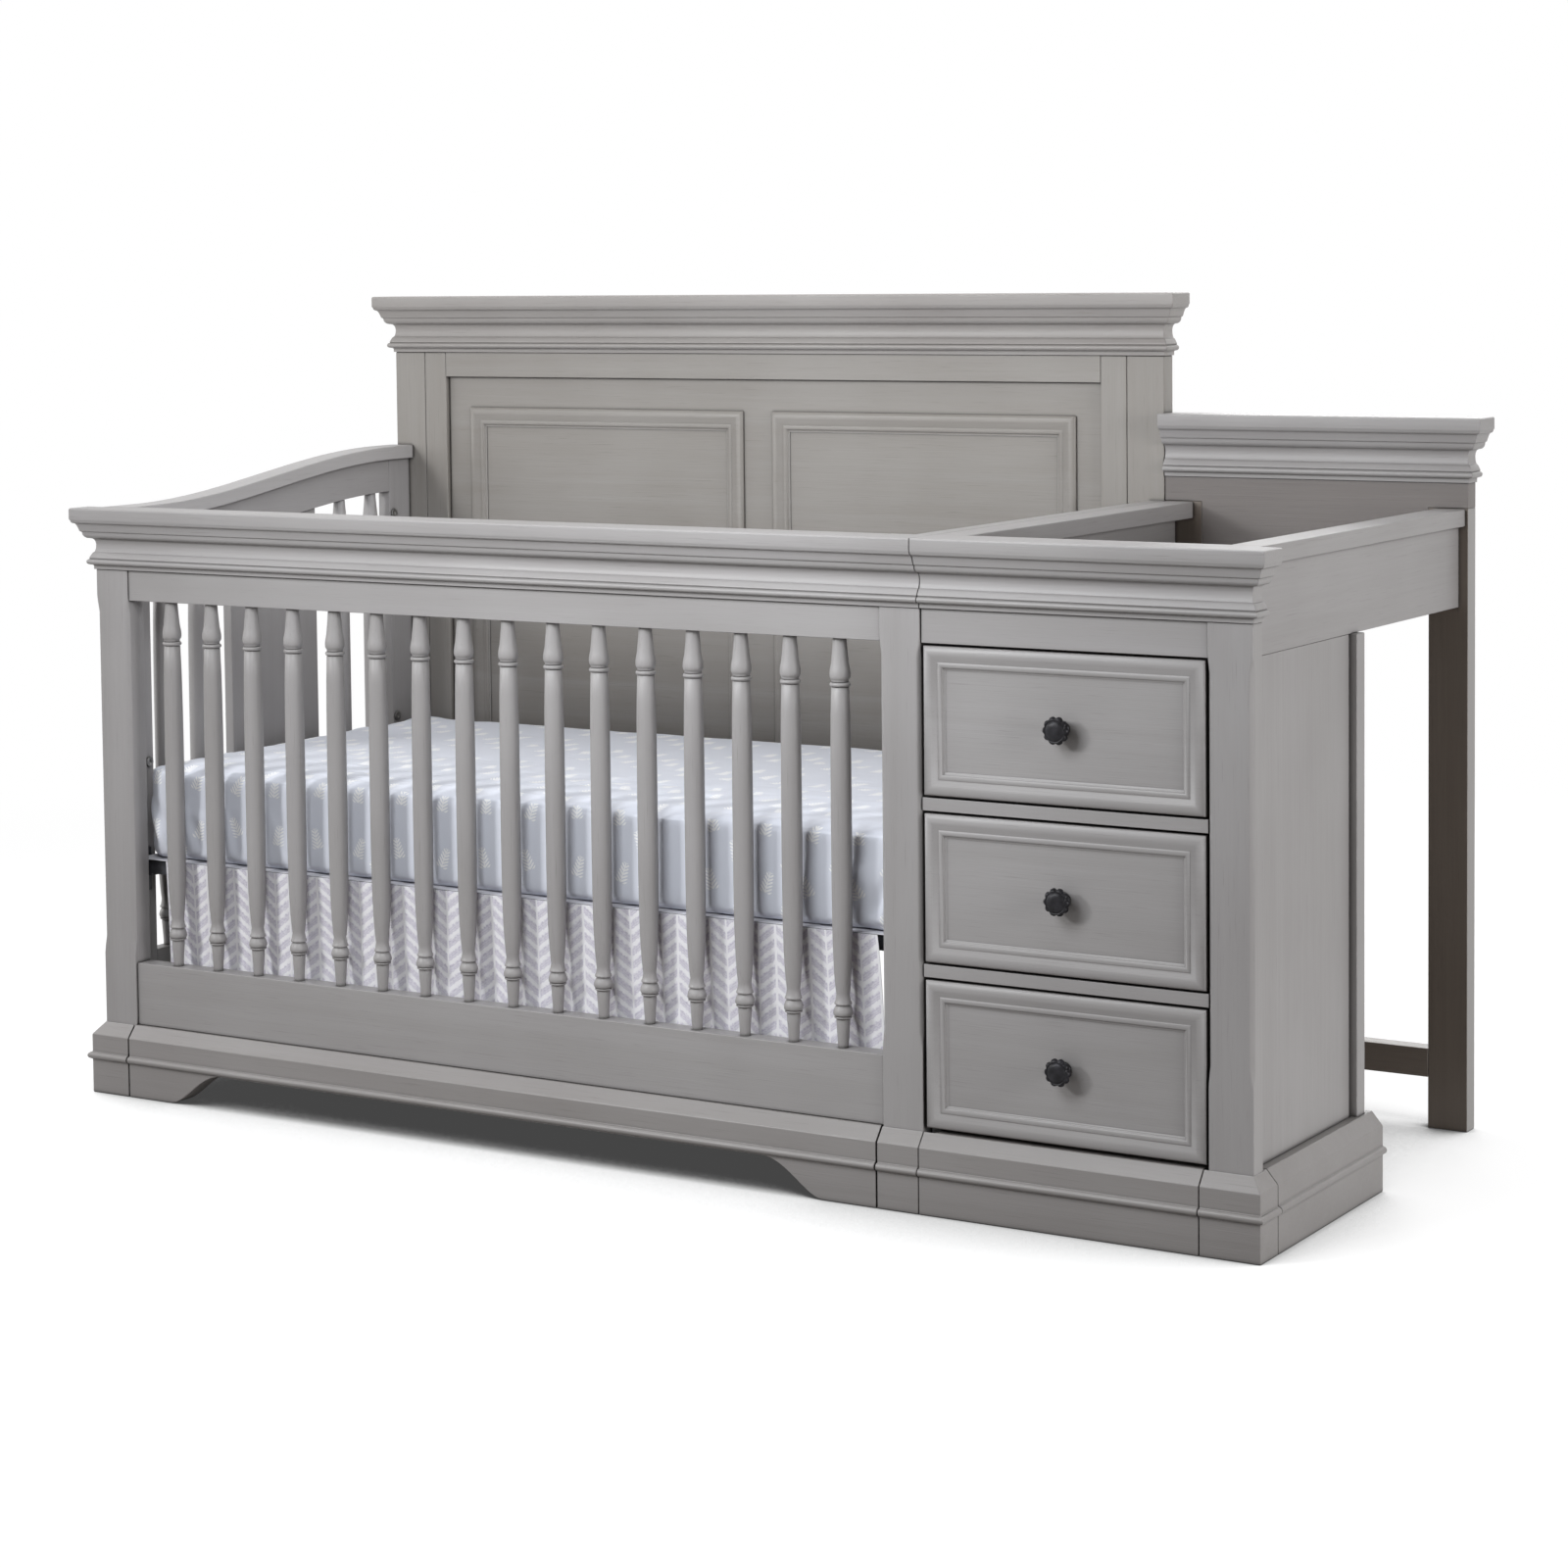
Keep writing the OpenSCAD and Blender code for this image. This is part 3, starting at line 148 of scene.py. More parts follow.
# The shadow: dark where the furniture hides the room from the floor, pale in the open.
openness = ramp(tree, nearness(tree, 0.80, samples=16), 0.30, 0.66)
bounce_tint = (0.15, 0.13, 0.115, 1)
colour = mix_colour(tree, seen, bounce_tint, calc(tree, "MULTIPLY", openness, 0.30))
paint = tree.nodes.new("ShaderNodeBsdfDiffuse")
tree.links.new(colour, paint.inputs["Color"])
glow = tree.nodes.new("ShaderNodeEmission")
shade = ramp(tree, openness, 0.0, 1.0, 0.06, 0.84)
tree.links.new(calc(tree, "MULTIPLY", seen, shade), glow.inputs["Strength"])
both = tree.nodes.new("ShaderNodeAddShader")
tree.links.new(paint.outputs[0], both.inputs[0])
tree.links.new(glow.outputs[0], both.inputs[1])
# Away from the furniture the floor fades to the plain white of the surround.
place = tree.nodes.new("ShaderNodeTexCoord")
reach = tree.nodes.new("ShaderNodeVectorMath")
reach.operation = "LENGTH"
tree.links.new(place.outputs["Object"], reach.inputs[0])
fade = tree.nodes.new("ShaderNodeMapRange")
fade.interpolation_type = "SMOOTHSTEP"
fade.inputs["From Min"].default_value = 1.6
fade.inputs["From Max"].default_value = 3.6
tree.links.new(reach.outputs["Value"], fade.inputs["Value"])
far = tree.nodes.new("ShaderNodeEmission")
tree.links.new(seen, far.inputs["Strength"])
blend = tree.nodes.new("ShaderNodeMixShader")
out = tree.nodes.new("ShaderNodeOutputMaterial")
tree.links.new(fade.outputs["Result"], blend.inputs["Fac"])
tree.links.new(both.outputs[0], blend.inputs[1])
tree.links.new(far.outputs[0], blend.inputs[2])
tree.links.new(blend.outputs[0], out.inputs["Surface"])

bpy.ops.mesh.primitive_plane_add(size=60, location=(0, 0, -0.0004))
floor = bpy.context.object
floor.name = "studio_floor"
floor.data.materials.append(floor_paint)


def soft_lamp(name, place, aim, size, power, colour):
    """A square softbox at place that faces aim."""
    bpy.ops.object.light_add(type="AREA", location=place)
    lamp = bpy.context.object
    lamp.name = name
    lamp.data.shape = "SQUARE"
    lamp.data.size = size
    lamp.data.energy = power
    lamp.data.color = colour
    lamp.rotation_euler = (Vector(aim) - Vector(place)).to_track_quat("-Z", "Y").to_euler()
    return lamp


soft_lamp("overhead_softbox", (0, 0.3, 3.4), (0, 0.1, 0.8), 2.1, 54, (0.98, 0.99, 1.0))
soft_lamp("front_left_softbox", (-1.9, -3.0, 1.9), (-0.3, -0.3, 0.9), 0.6, 56, (0.98, 0.99, 1.0))
soft_lamp("front_strip", (0.15, -1.35, 1.40), (0.15, -0.35, 1.0), 0.7, 14.2, (0.94, 0.97, 1.0))
soft_lamp("left_softbox", (-3.2, -0.8, 1.7), (-0.6, 0, 0.8), 1.4, 26, (1.0, 1.0, 1.0))
soft_lamp("right_fill", (4.4, -0.8, 1.2), (0.8, 0, 0.6), 1.8, 106, (1.0, 1.0, 1.0))
back_fill = soft_lamp("back_fill", (0.2, 3.2, 1.4), (0, 0.4, 0.7), 2.0, 42, (1.0, 1.0, 1.0))
back_fill.visible_camera = False

# ---- Crib posts and front rails -------------------------------------------------------------
# Solid hardwood posts and rails under a stone-grey stain and a satin lacquer that lets a little
# of the grain through. The edges are sanded round and painted lighter, partly as wear and partly
# as painted highlight, and painted shade with a little glaze darkens the corners.


def srgb(red, green, blue):
    """A colour as it is seen on a screen, 0 to 255, as the shader's numbers."""
    return tuple(
        v / 12.92 if v <= 0.04045 else ((v + 0.055) / 1.055) ** 2.4
        for v in (red / 255, green / 255, blue / 255)
    ) + (1,)


def pick(piece):
    """Selects one piece alone and makes it the active one."""
    bpy.ops.object.select_all(action="DESELECT")
    piece.select_set(True)
    bpy.context.view_layer.objects.active = piece


def scaled(tree, value, factor, offset=0.0):
    """value * factor + offset."""
    step = tree.nodes.new("ShaderNodeMath")
    step.operation = "MULTIPLY_ADD"
    tree.links.new(value, step.inputs[0])
    step.inputs[1].default_value = factor
    step.inputs[2].default_value = offset
    return step.outputs[0]


def added(tree, first, second):
    """The sum of two values."""
    return calc(tree, "ADD", first, second)


def product(tree, *values):
    """All the values multiplied together."""
    total = values[0]
    for value in values[1:]:
        total = calc(tree, "MULTIPLY", total, value)
    return total


def fibres(tree, stretch, scale, detail, distortion=0.0):
    """Noise on the piece's own place, drawn out by stretch."""
    place = tree.nodes.new("ShaderNodeTexCoord")
    draw = tree.nodes.new("ShaderNodeMapping")
    draw.inputs["Scale"].default_value = stretch
    grain = tree.nodes.new("ShaderNodeTexNoise")
    grain.inputs["Scale"].default_value = scale
    grain.inputs["Detail"].default_value = detail
    grain.inputs["Roughness"].default_value = 0.6
    grain.inputs["Distortion"].default_value = distortion
    tree.links.new(place.outputs["Object"], draw.inputs["Vector"])
    tree.links.new(draw.outputs["Vector"], grain.inputs["Vector"])
    return grain.outputs[0]


def new_finish(name):
    """A new material; returns it with its node tree and its surface shader."""
    finish = bpy.data.materials.new(name)
    finish.use_nodes = True
    return finish, finish.node_tree, finish.node_tree.nodes["Principled BSDF"]


def tinted(tree, colour, over, amount, share):
    """The colour with up to a share of another one laid over it."""
    return mix_colour(tree, scaled(tree, amount, share), colour, over)


def relieve(tree, skin, height, strength, distance):
    """Gives the surface a fine relief, distance metres high at full strength."""
    relief = tree.nodes.new("ShaderNodeBump")
    relief.inputs["Strength"].default_value = strength
    relief.inputs["Distance"].default_value = distance
    tree.links.new(height, relief.inputs["Height"])
    tree.links.new(relief.outputs["Normal"], skin.inputs["Normal"])


def stained_wood(name, grain, body_colour, shade_colour, glaze_and_shade_colour, pale_tone_and_highlight_colour):
    """Stained and lacquered hardwood whose grain runs along the axis named by grain."""
    finish, tree, lacquer = new_finish(name)
    painted_gap_shade = tuple(v * 0.22 for v in glaze_and_shade_colour[:3]) + (1,)
    # Broad figure, fine streaks and dark pores, drawn out along the grain, and a faint cloud.
    broad = [0.045 if axis == grain else 1.0 for axis in "xyz"]
    fine = [0.018 if axis == grain else 1.0 for axis in "xyz"]
    figure = fibres(tree, broad, 16, 5, 1.4)
    streak = fibres(tree, fine, 240, 3, 0.3)
    pore = fibres(tree, fine, 900, 2)
    cloud = fibres(tree, (1, 1, 1), 3.2, 2)
    colour = mix_colour(tree, ramp(tree, figure, 0.34, 0.68), shade_colour, body_colour)
    colour = tinted(tree, colour, shade_colour, ramp(tree, streak, 0.36, 0.62), 0.28)
    colour = tinted(tree, colour, glaze_and_shade_colour, ramp(tree, pore, 0.62, 0.78), 0.35)
    colour = tinted(tree, colour, pale_tone_and_highlight_colour, ramp(tree, cloud, 0.35, 0.7), 0.22)
    # Painted shade, with a little glaze, darkens recesses and corners, most of all in the narrow
    # grooves, and the open gaps are painted nearly black as painted shade.
    hollow_shade = nearness(tree, 0.060)
    corner_shade = nearness(tree, 0.012)
    quirk_shade = nearness(tree, 0.005)
    colour = tinted(tree, colour, glaze_and_shade_colour, ramp(tree, hollow_shade, 0.95, 0.40), 0.10)
    colour = tinted(tree, colour, glaze_and_shade_colour, ramp(tree, corner_shade, 0.78, 0.32), 0.66)
    colour = tinted(tree, colour, painted_gap_shade, ramp(tree, quirk_shade, 0.90, 0.46), 0.90)
    colour = mix_colour(tree, ramp(tree, corner_shade, 0.26, 0.10), colour, painted_gap_shade)
    # The arrises are painted lighter: partly handling wear, partly painted highlight.
    edge = nearness(tree, 0.0022, inside=True)
    colour = tinted(tree, colour, pale_tone_and_highlight_colour, ramp(tree, edge, 0.50, 0.25), 0.75)
    tree.links.new(colour, lacquer.inputs["Base Color"])
    rough = scaled(tree, added(tree, figure, streak), 0.16, 0.33)
    tree.links.new(rough, lacquer.inputs["Roughness"])
    lacquer.inputs["Coat Weight"].default_value = 0.12
    lacquer.inputs["Coat Roughness"].default_value = 0.28
    height = added(tree, added(tree, streak, pore), scaled(tree, cloud, 1.6))
    relieve(tree, lacquer, height, 0.30, 0.0005)
    return finish


def stains(name, axes, *tones):
    """One finish per grain direction; tones: body, darker grain, glaze and painted shade, pale tone
    and painted highlight.
    """
    return {
        axis: stained_wood(f"{name}_along_{axis}", axis, *[srgb(*tone) for tone in tones])
        for axis in axes
    }


stone = stains(
    "stone_stain", "xyz", (154, 151, 151), (146, 143, 142), (76, 71, 67), (186, 184, 184)
)


def finished(piece, finish, node, body="root"):
    """Gives a finished piece its surface and its body, and hides the CAD node that it stands for.
    """
    piece.data.materials.clear()
    piece.data.materials.append(finish)
    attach(piece, body)
    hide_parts(node)
    return piece


def soften(piece, arris, sharpest=38):
    """Sands the sharp edges round by arris metres and shades the rest evenly."""
    pick(piece)
    sanding = piece.modifiers.new("sanded_edges", "BEVEL")
    sanding.width = arris
    sanding.segments = 2
    sanding.limit_method = "ANGLE"
    sanding.angle_limit = math.radians(sharpest)
    bpy.ops.object.modifier_apply(modifier=sanding.name)
    bpy.ops.object.shade_smooth_by_angle(angle=math.radians(50))
    evening = piece.modifiers.new("even_shading", "WEIGHTED_NORMAL")
    evening.keep_sharp = True
    bpy.ops.object.modifier_apply(modifier=evening.name)
    return piece


def sanded(node, finish, body="root", arris=0.0010):
    """A copy of a CAD board, its triangles merged to whole faces and its edges sanded round."""
    piece = bpy.data.objects.new(node + "_wood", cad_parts[node].data.copy())
    scene.collection.objects.link(piece)
    pick(piece)
    bpy.ops.mesh.customdata_custom_splitnormals_clear()
    bpy.ops.object.mode_set(mode="EDIT")
    bpy.ops.mesh.select_all(action="SELECT")
    bpy.ops.mesh.remove_doubles(threshold=0.00002)
    bpy.ops.mesh.dissolve_limited(angle_limit=math.radians(0.6))
    bpy.ops.object.mode_set(mode="OBJECT")
    soften(piece, arris)
    return finished(piece, finish, node, body)


for node in ("front_left_post", "front_right_post"):
    sanded(node, stone["z"], arris=0.0014)
for node in ("front_top_rail", "front_bottom_rail"):
    sanded(node, stone["x"])

# ---- Front crown moulding -------------------------------------------------------------------
# A solid crown moulding, run on a spindle moulder and planted on the posts and the top rail,
# with a mitred return at the left end. Painted shade darkens its grooves and the space under its
# bead.
sanded("front_crown", stone["x"], arris=0.0008)

# ---- Turned spindles ------------------------------------------------------------------------
# Sixteen spindles stand between the front rails and four in each end: turned hardwood with a
# thin neck, a bulb and a disc over a long body, and a cup and a collar above a tapered foot.


def turned(name, foot, axis, outline, sides):
    """Turns a piece as on a lathe: a disc drawn out along axis through (radius, height) steps."""
    foot, axis = Vector(foot), Vector(axis)
    across = Vector((1, 1, 1)) - Vector([abs(v) for v in axis])
    radius, height = outline[0]
    bpy.ops.object.select_all(action="DESELECT")
    bpy.ops.mesh.primitive_circle_add(
        vertices=sides, radius=radius, fill_type="NGON", location=foot + axis * height,
        rotation=Vector((0, 0, 1)).rotation_difference(axis).to_euler(),
    )
    piece = bpy.context.object
    piece.name = name
    bpy.ops.object.transform_apply(location=True, rotation=True, scale=True)
    bpy.ops.object.mode_set(mode="EDIT")
    bpy.ops.mesh.select_all(action="SELECT")
    for wide, high in outline[1:]:
        bpy.ops.mesh.extrude_region_move(TRANSFORM_OT_translate={"value": axis * (high - height)})
        k = wide / radius
        bpy.ops.transform.resize(
            value=Vector((1, 1, 1)) + across * (k - 1), center_override=foot + axis * high
        )
        radius, height = wide, high
    bpy.ops.mesh.select_all(action="SELECT")
    bpy.ops.mesh.normals_make_consistent(inside=False)
    bpy.ops.object.mode_set(mode="OBJECT")
    bpy.ops.object.shade_smooth_by_angle(angle=math.radians(42))
    return piece


def half_round(x, z, r, steps=6):
    """The round edge of a disc, from its lower to its upper side."""
    turns = [math.radians(-90 + 180 * i / steps) for i in range(steps + 1)]
    return [(x + r * math.cos(a), z + r * math.sin(a)) for a in turns]


def spindle_outline(length):
    """(radius, height) steps of a spindle of that length, from its foot up."""
    waist, body_top = 0.0690, length - 0.0647
    body = []
    for i in range(19):
        z = (body_top - waist) * (i / 18) ** 1.6
        loss = 0.00495 * math.exp(-z / 0.041) + 0.0020 * math.exp((z + waist - body_top) / 0.050)
        body.append((0.01375 - loss, waist + z))
    bulb = (
        (11.3, 8.0), (11.25, 9.0), (11.3, 9.9), (12.4, 11.2), (13.1, 12.5), (13.5, 13.9),
        (13.7, 16.0), (13.7, 17.4), (13.6, 20.0), (13.2, 23.0), (12.5, 26.7), (11.7, 30.7),
        (10.6, 41.7), (9.6, 52.7),
    )
    return (
        [(0.0069, 0), (0.0080, 0.0180), (0.0092, 0.0355), (0.0089, 0.0368), (0.0088, 0.0373)]
        + half_round(0.01025, 0.0399, 0.00145)
        + [(0.0112, 0.0416), (0.0118, 0.0421), (0.0126, 0.0438), (0.0129, 0.0457), (0.0126, 0.0480)]
        + [(0.0118, 0.0506), (0.0104, 0.0537), (0.0094, 0.0551), (0.0094, 0.0563)]
        + [(0.0112, 0.0567), (0.0114, 0.0573), (0.0114, 0.0582), (0.0111, 0.0590), (0.0099, 0.0614)]
        + body
        + half_round(0.01075, body_top + 0.0042, 0.0030)
        + [(r / 1000, body_top + z / 1000) for r, z in bulb]
        + [(0.0088, length)]
    )


def spindle_row(node, places, low, high):
    """One spindle is turned and the others are copied from it; places are (x, y) pairs."""
    outline = spindle_outline(high - low)
    first = turned(node + "_1", (*places[0], low), (0, 0, 1), outline, spindle_sides)
    finished(first, stone["z"], node)
    for i, (x, y) in enumerate(places[1:], 2):
        copy = bpy.data.objects.new(f"{node}_{i}", first.data.copy())
        scene.collection.objects.link(copy)
        copy.data.transform(Matrix.Translation((x - places[0][0], y - places[0][1], 0)))
        finished(copy, stone["z"], node)


count, spindle_sides = 16, 28
low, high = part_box("front_spindles")
reach = (high.y - low.y) / 2
first_x, last_x = low.x + reach, high.x - reach
places = [(first_x + (last_x - first_x) * i / (count - 1), low.y + reach) for i in range(count)]
spindle_row("front_spindles", places, low.z, high.z)

# ---- Base moulding --------------------------------------------------------------------------
# A tall base board with a bead along it and a sloped top, sawn to a bracket foot at each end.
# It is planted on the posts in lengths, with an open hairline between one block and the next.
# Its copy of the stain is painted a little darker than the posts', as painted shade near the floor.
base_painted_shade_stain = stains(
    "base_painted_shade_stain", "x", (143, 139, 138), (135, 131, 129), (68, 63, 59), (170, 168, 167)
)["x"]
for node in ("front_base", "front_plinths"):
    sanded(node, base_painted_shade_stain, arris=0.0012)

# ---- Crib ends ------------------------------------------------------------------------------
# Framed ends between the front posts and the headboard: two stiles, rails, four spindles and a
# flat panel in the middle. The left one has a cap that sweeps up to the headboard, painted lighter
# as painted light.
cap_painted_light_stain = stains(
    "cap_painted_light_stain", "y", (173, 170, 170), (165, 162, 161), (86, 81, 77), (196, 194, 194)
)["y"]
sanded("left_end_stiles", stone["z"])
for node in ("left_end_top_rail", "left_end_bottom_rail"):
    sanded(node, stone["y"])
sanded("left_end_cap", cap_painted_light_stain, arris=0.0016)
sanded("left_end_panel", stone["z"])
sanded("right_end_frame", stone["z"])
sanded("right_end_cap", stone["y"])
sanded("right_end_panel", stone["z"])


def end_spindles(node):
    """Turns each end spindle between the rails, as long as the CAD one at its place."""
    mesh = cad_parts[node].data
    low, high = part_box(node)
    # The CAD spindles are told apart by the gaps between them along Y.
    ys = sorted(v.co.y for v in mesh.vertices)
    starts = [0] + [i for i in range(1, len(ys)) if ys[i] - ys[i - 1] > 0.02] + [len(ys)]
    for i in range(1, len(starts)):
        near, far = ys[starts[i - 1]], ys[starts[i] - 1]
        top = max(v.co.z for v in mesh.vertices if near - 1e-6 <= v.co.y <= far + 1e-6)
        foot = (low.x + high.x) / 2, (near + far) / 2, low.z
        outline = spindle_outline(top - low.z)
        piece = turned(f"{node}_{i}", foot, (0, 0, 1), outline, spindle_sides)
        finished(piece, stone["z"], node)


end_spindles("left_end_spindles")
end_spindles("right_end_spindles")

# ---- Headboard ------------------------------------------------------------------------------
# A tall framed back: posts and inner stiles side by side, rails, a flat veneered panel with two
# planted picture mouldings, and the same crown moulding as the front with both ends returned.
# Its copy of the stain is painted darker and browner than the front's, as painted shade and
# brownish bounce light, and the crown's copy lies between the two.
headboard_shade_stains = stains(
    "headboard_painted_shade_stain", "xz", (141, 137, 132), (132, 127, 121), (68, 61, 54), (172, 169, 166)
)
for node in ("headboard_posts", "headboard_stiles"):
    sanded(node, headboard_shade_stains["z"], arris=0.0018)
for node in ("headboard_top_rail", "headboard_bottom_rail", "headboard_mouldings"):
    sanded(node, headboard_shade_stains["x"], arris=0.0006 if node == "headboard_mouldings" else 0.0010)
sanded("headboard_panel", headboard_shade_stains["x"])
# The crown's copy of the stain is painted as shade, between the headboard's and the front's.
headboard_crown_shade_stain = stains(
    "headboard_crown_stain", "x", (151, 147, 144), (143, 138, 135), (72, 66, 61), (181, 178, 175)
)["x"]
sanded("headboard_crown", headboard_crown_shade_stain, arris=0.0008)

# ---- Mattress support -----------------------------------------------------------------------
# A welded frame of painted steel angle with flat straps across it. It rests on four steel
# brackets, which are bolted through the end stiles; round bolt heads fill the other heights.


def painted_steel(name, colour, worn, metal, rough):
    """Smooth metal paint or bare metal, with faint handling marks."""
    finish, tree, skin = new_finish(name)
    marks = fibres(tree, (1, 1, 1), 60, 4)
    scuffs = fibres(tree, (1, 0.2, 1), 320, 3, 0.5)
    edge = nearness(tree, 0.0018, inside=True)
    shade = tinted(tree, colour, worn, ramp(tree, marks, 0.4, 0.7), 0.5)
    shade = tinted(tree, shade, worn, ramp(tree, edge, 0.50, 0.25), 0.6)
    tree.links.new(shade, skin.inputs["Base Color"])
    skin.inputs["Metallic"].default_value = metal
    tree.links.new(scaled(tree, scuffs, 0.25, rough), skin.inputs["Roughness"])
    relieve(tree, skin, scuffs, 0.15, 0.0004)
    return finish


frame_paint = painted_steel("dark_steel_paint", srgb(58, 58, 62), srgb(104, 105, 110), 0.35, 0.30)
for node in ("mattress_frame", "mattress_straps", "frame_brackets"):
    sanded(node, frame_paint, arris=0.0005)
bolt_finish = painted_steel("zinc_bolt", srgb(120, 119, 118), srgb(190, 188, 184), 0.9, 0.22)
sanded("end_bolts", bolt_finish, arris=0.0007)

# ---- Crib skirt -----------------------------------------------------------------------------
# Printed cotton: a plain deck cloth lies on the steel frame under the mattress, and a panel
# sewn to its front edge hangs to the hem in soft folds. The print is columns of grey chevrons.


def cloth_weave(tree, skin, scale, strength, extra=None):
    """Fine woven relief, with a softer relief added to it."""
    weave = fibres(tree, (1, 1, 1), scale, 2)
    height = weave if extra is None else added(tree, scaled(tree, weave, 0.5), extra)
    relieve(tree, skin, height, strength, 0.0010)


def soft_cotton(skin, rough, sheen, gloss):
    """The dull, slightly downy surface of cotton."""
    skin.inputs["Roughness"].default_value = rough
    skin.inputs["Sheen Weight"].default_value = sheen
    skin.inputs["Sheen Roughness"].default_value = 0.5
    skin.inputs["Specular IOR Level"].default_value = gloss


def flat_map(tree, name):
    """The two coordinates of a named UV map, in metres on the cloth."""
    cut = tree.nodes.new("ShaderNodeUVMap")
    cut.uv_map = name
    parts = tree.nodes.new("ShaderNodeSeparateXYZ")
    tree.links.new(cut.outputs["UV"], parts.inputs["Vector"])
    return cut.outputs["UV"], parts.outputs["X"], parts.outputs["Y"]


def chevron_cotton(name):
    """White cotton printed with upright columns of feathery grey chevrons, points up."""
    column_width, row_height, hair_step = 0.051, 0.0180, 0.0036
    finish, tree, skin = new_finish(name)
    uv, u, v = flat_map(tree, "cut")
    brush = tree.nodes.new("ShaderNodeTexNoise")
    brush.inputs["Scale"].default_value = 260
    brush.inputs["Detail"].default_value = 3
    tree.links.new(uv, brush.inputs["Vector"])
    wobble = scaled(tree, brush.outputs[0], 0.008, -0.004)
    # Rows slant up to the middle of each column, which a bare spine and bare borders divide.
    column = calc(tree, "FRACT", scaled(tree, u, 1 / column_width))
    aside = scaled(tree, calc(tree, "ABSOLUTE", scaled(tree, column, 1.0, -0.5)), column_width)
    row = added(tree, added(tree, v, scaled(tree, aside, 0.72)), wobble)
    part = calc(tree, "FRACT", scaled(tree, row, 1 / row_height))
    stroke = ramp(tree, calc(tree, "ABSOLUTE", scaled(tree, part, 1.0, -0.5)), 0.36, 0.24)
    spine = ramp(tree, aside, 0.0012, 0.0022)
    border = ramp(tree, aside, 0.0250, 0.0236)
    # The ink is thinner where the brush ran dry, and drawn in fine hairs.
    dry = scaled(tree, ramp(tree, brush.outputs[0], 0.30, 0.62), -0.40, 1.0)
    hair = calc(tree, "SINE", scaled(tree, row, 2 * math.pi / hair_step))
    inked = product(tree, stroke, spine, border, dry, scaled(tree, hair, 0.20, 0.80))
    patches = fibres(tree, (1, 1, 1), 14, 2)
    ink = mix_colour(tree, patches, srgb(194, 188, 207), srgb(212, 207, 221))
    colour = mix_colour(tree, inked, srgb(252, 251, 254), ink)
    tree.links.new(colour, skin.inputs["Base Color"])
    soft_cotton(skin, 0.9, 0.15, 0.25)
    cloth_weave(tree, skin, 1500, 0.35, fibres(tree, (1, 1, 0.3), 45, 3))
    return finish


skirt_low, skirt_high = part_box("crib_skirt")
deck_low, deck_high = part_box("mattress_frame")
panel = [v.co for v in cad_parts["crib_skirt"].data.vertices if v.co.z < deck_high.z - 0.01]
left, right = min(p.x for p in panel), max(p.x for p in panel)
hem, top = skirt_low.z, skirt_high.z - 0.0012
face = skirt_low.y
folds = 9
flare, flare_reach = 0.012, 0.15


def fold_depth(x, z):
    """How far the cloth stands back at x along the panel and z above the floor."""
    along = (x - left) / (right - left)
    a = 2 * math.pi * folds * along
    wave = 0.5 + 0.32 * math.sin(a) + 0.13 * math.sin(2.3 * a + 0.7) + 0.05 * math.sin(0.41 * a)
    fall = max(0.0, top - z) / (top - hem)
    small = 0.0011 * noise.noise(Vector((x * 26, 0, z * 5)))
    small += 0.0004 * noise.noise(Vector((x * 70, 3, z * 12)))
    return 0.0004 + (0.011 * wave + 0.0009) * fall ** 0.8 + (small + 0.0011) * min(1, fall * 3)


bpy.ops.object.select_all(action="DESELECT")
bpy.ops.mesh.primitive_grid_add(
    x_subdivisions=480, y_subdivisions=56, size=1,
    location=((left + right) / 2, face, (hem + top) / 2), rotation=(math.radians(90), 0, 0),
)
skirt = bpy.context.object
skirt.name = "skirt_panel"
skirt.scale = (right - left, top - hem, 1)
bpy.ops.object.transform_apply(location=True, rotation=True, scale=True)
cut = skirt.data.uv_layers.active
cut.name = "cut"
for loop in skirt.data.loops:
    point = skirt.data.vertices[loop.vertex_index].co
    cut.data[loop.index].uv = (point.x - left, point.z - hem)
for v in skirt.data.vertices:
    fall = max(0.0, top - v.co.z) / (top - hem)
    v.co.y = face + fold_depth(v.co.x, v.co.z)
    v.co.x += flare * fall ** 0.7 * max(0, 1 - (right - v.co.x) / flare_reach) ** 2
thick = skirt.modifiers.new("cloth", "SOLIDIFY")
thick.thickness = 0.0009
thick.offset = -1
pick(skirt)
bpy.ops.object.modifier_apply(modifier=thick.name)
bpy.ops.object.shade_smooth_by_angle(angle=math.radians(60))
chevrons = chevron_cotton("chevron_cotton")
finished(skirt, chevrons, "crib_skirt")

deck_front = face + 0.0022
deck_size = (deck_high.x - deck_low.x - 0.004, deck_high.y - deck_front - 0.002)
bpy.ops.object.select_all(action="DESELECT")
bpy.ops.mesh.primitive_grid_add(
    x_subdivisions=60, y_subdivisions=30, size=1,
    location=((deck_low.x + deck_high.x) / 2, (deck_front + deck_high.y) / 2, deck_high.z + 0.0006),
)
deck = bpy.context.object
deck.name = "skirt_deck_cloth"
deck.scale = (*deck_size, 1)
bpy.ops.object.transform_apply(location=True, rotation=True, scale=True)
deck.data.uv_layers.active.name = "cut"
thick = deck.modifiers.new("cloth", "SOLIDIFY")
thick.thickness = 0.0008
thick.offset = 0
pick(deck)
bpy.ops.object.modifier_apply(modifier=thick.name)


def plain_cotton(name, colour):
    """Plain undyed cotton with a slight unevenness."""
    finish, tree, skin = new_finish(name)
    slub = fibres(tree, (0.15, 1, 1), 160, 3)
    tree.links.new(tinted(tree, colour, srgb(205, 204, 210), slub, 0.5), skin.inputs["Base Color"])
    soft_cotton(skin, 0.9, 0.1, 0.5)
    cloth_weave(tree, skin, 1200, 0.3)
    return finish


deck_cotton = plain_cotton("deck_cotton", srgb(222, 221, 226))
finished(deck, deck_cotton, "crib_skirt")

# ---- Mattress in its fitted sheet -----------------------------------------------------------
# A firm foam mattress in a pale blue-grey cotton sheet with small white sprigs. The elastic hem
# is tucked under, so the sides pull flat while the corners are rumpled in slanting folds.


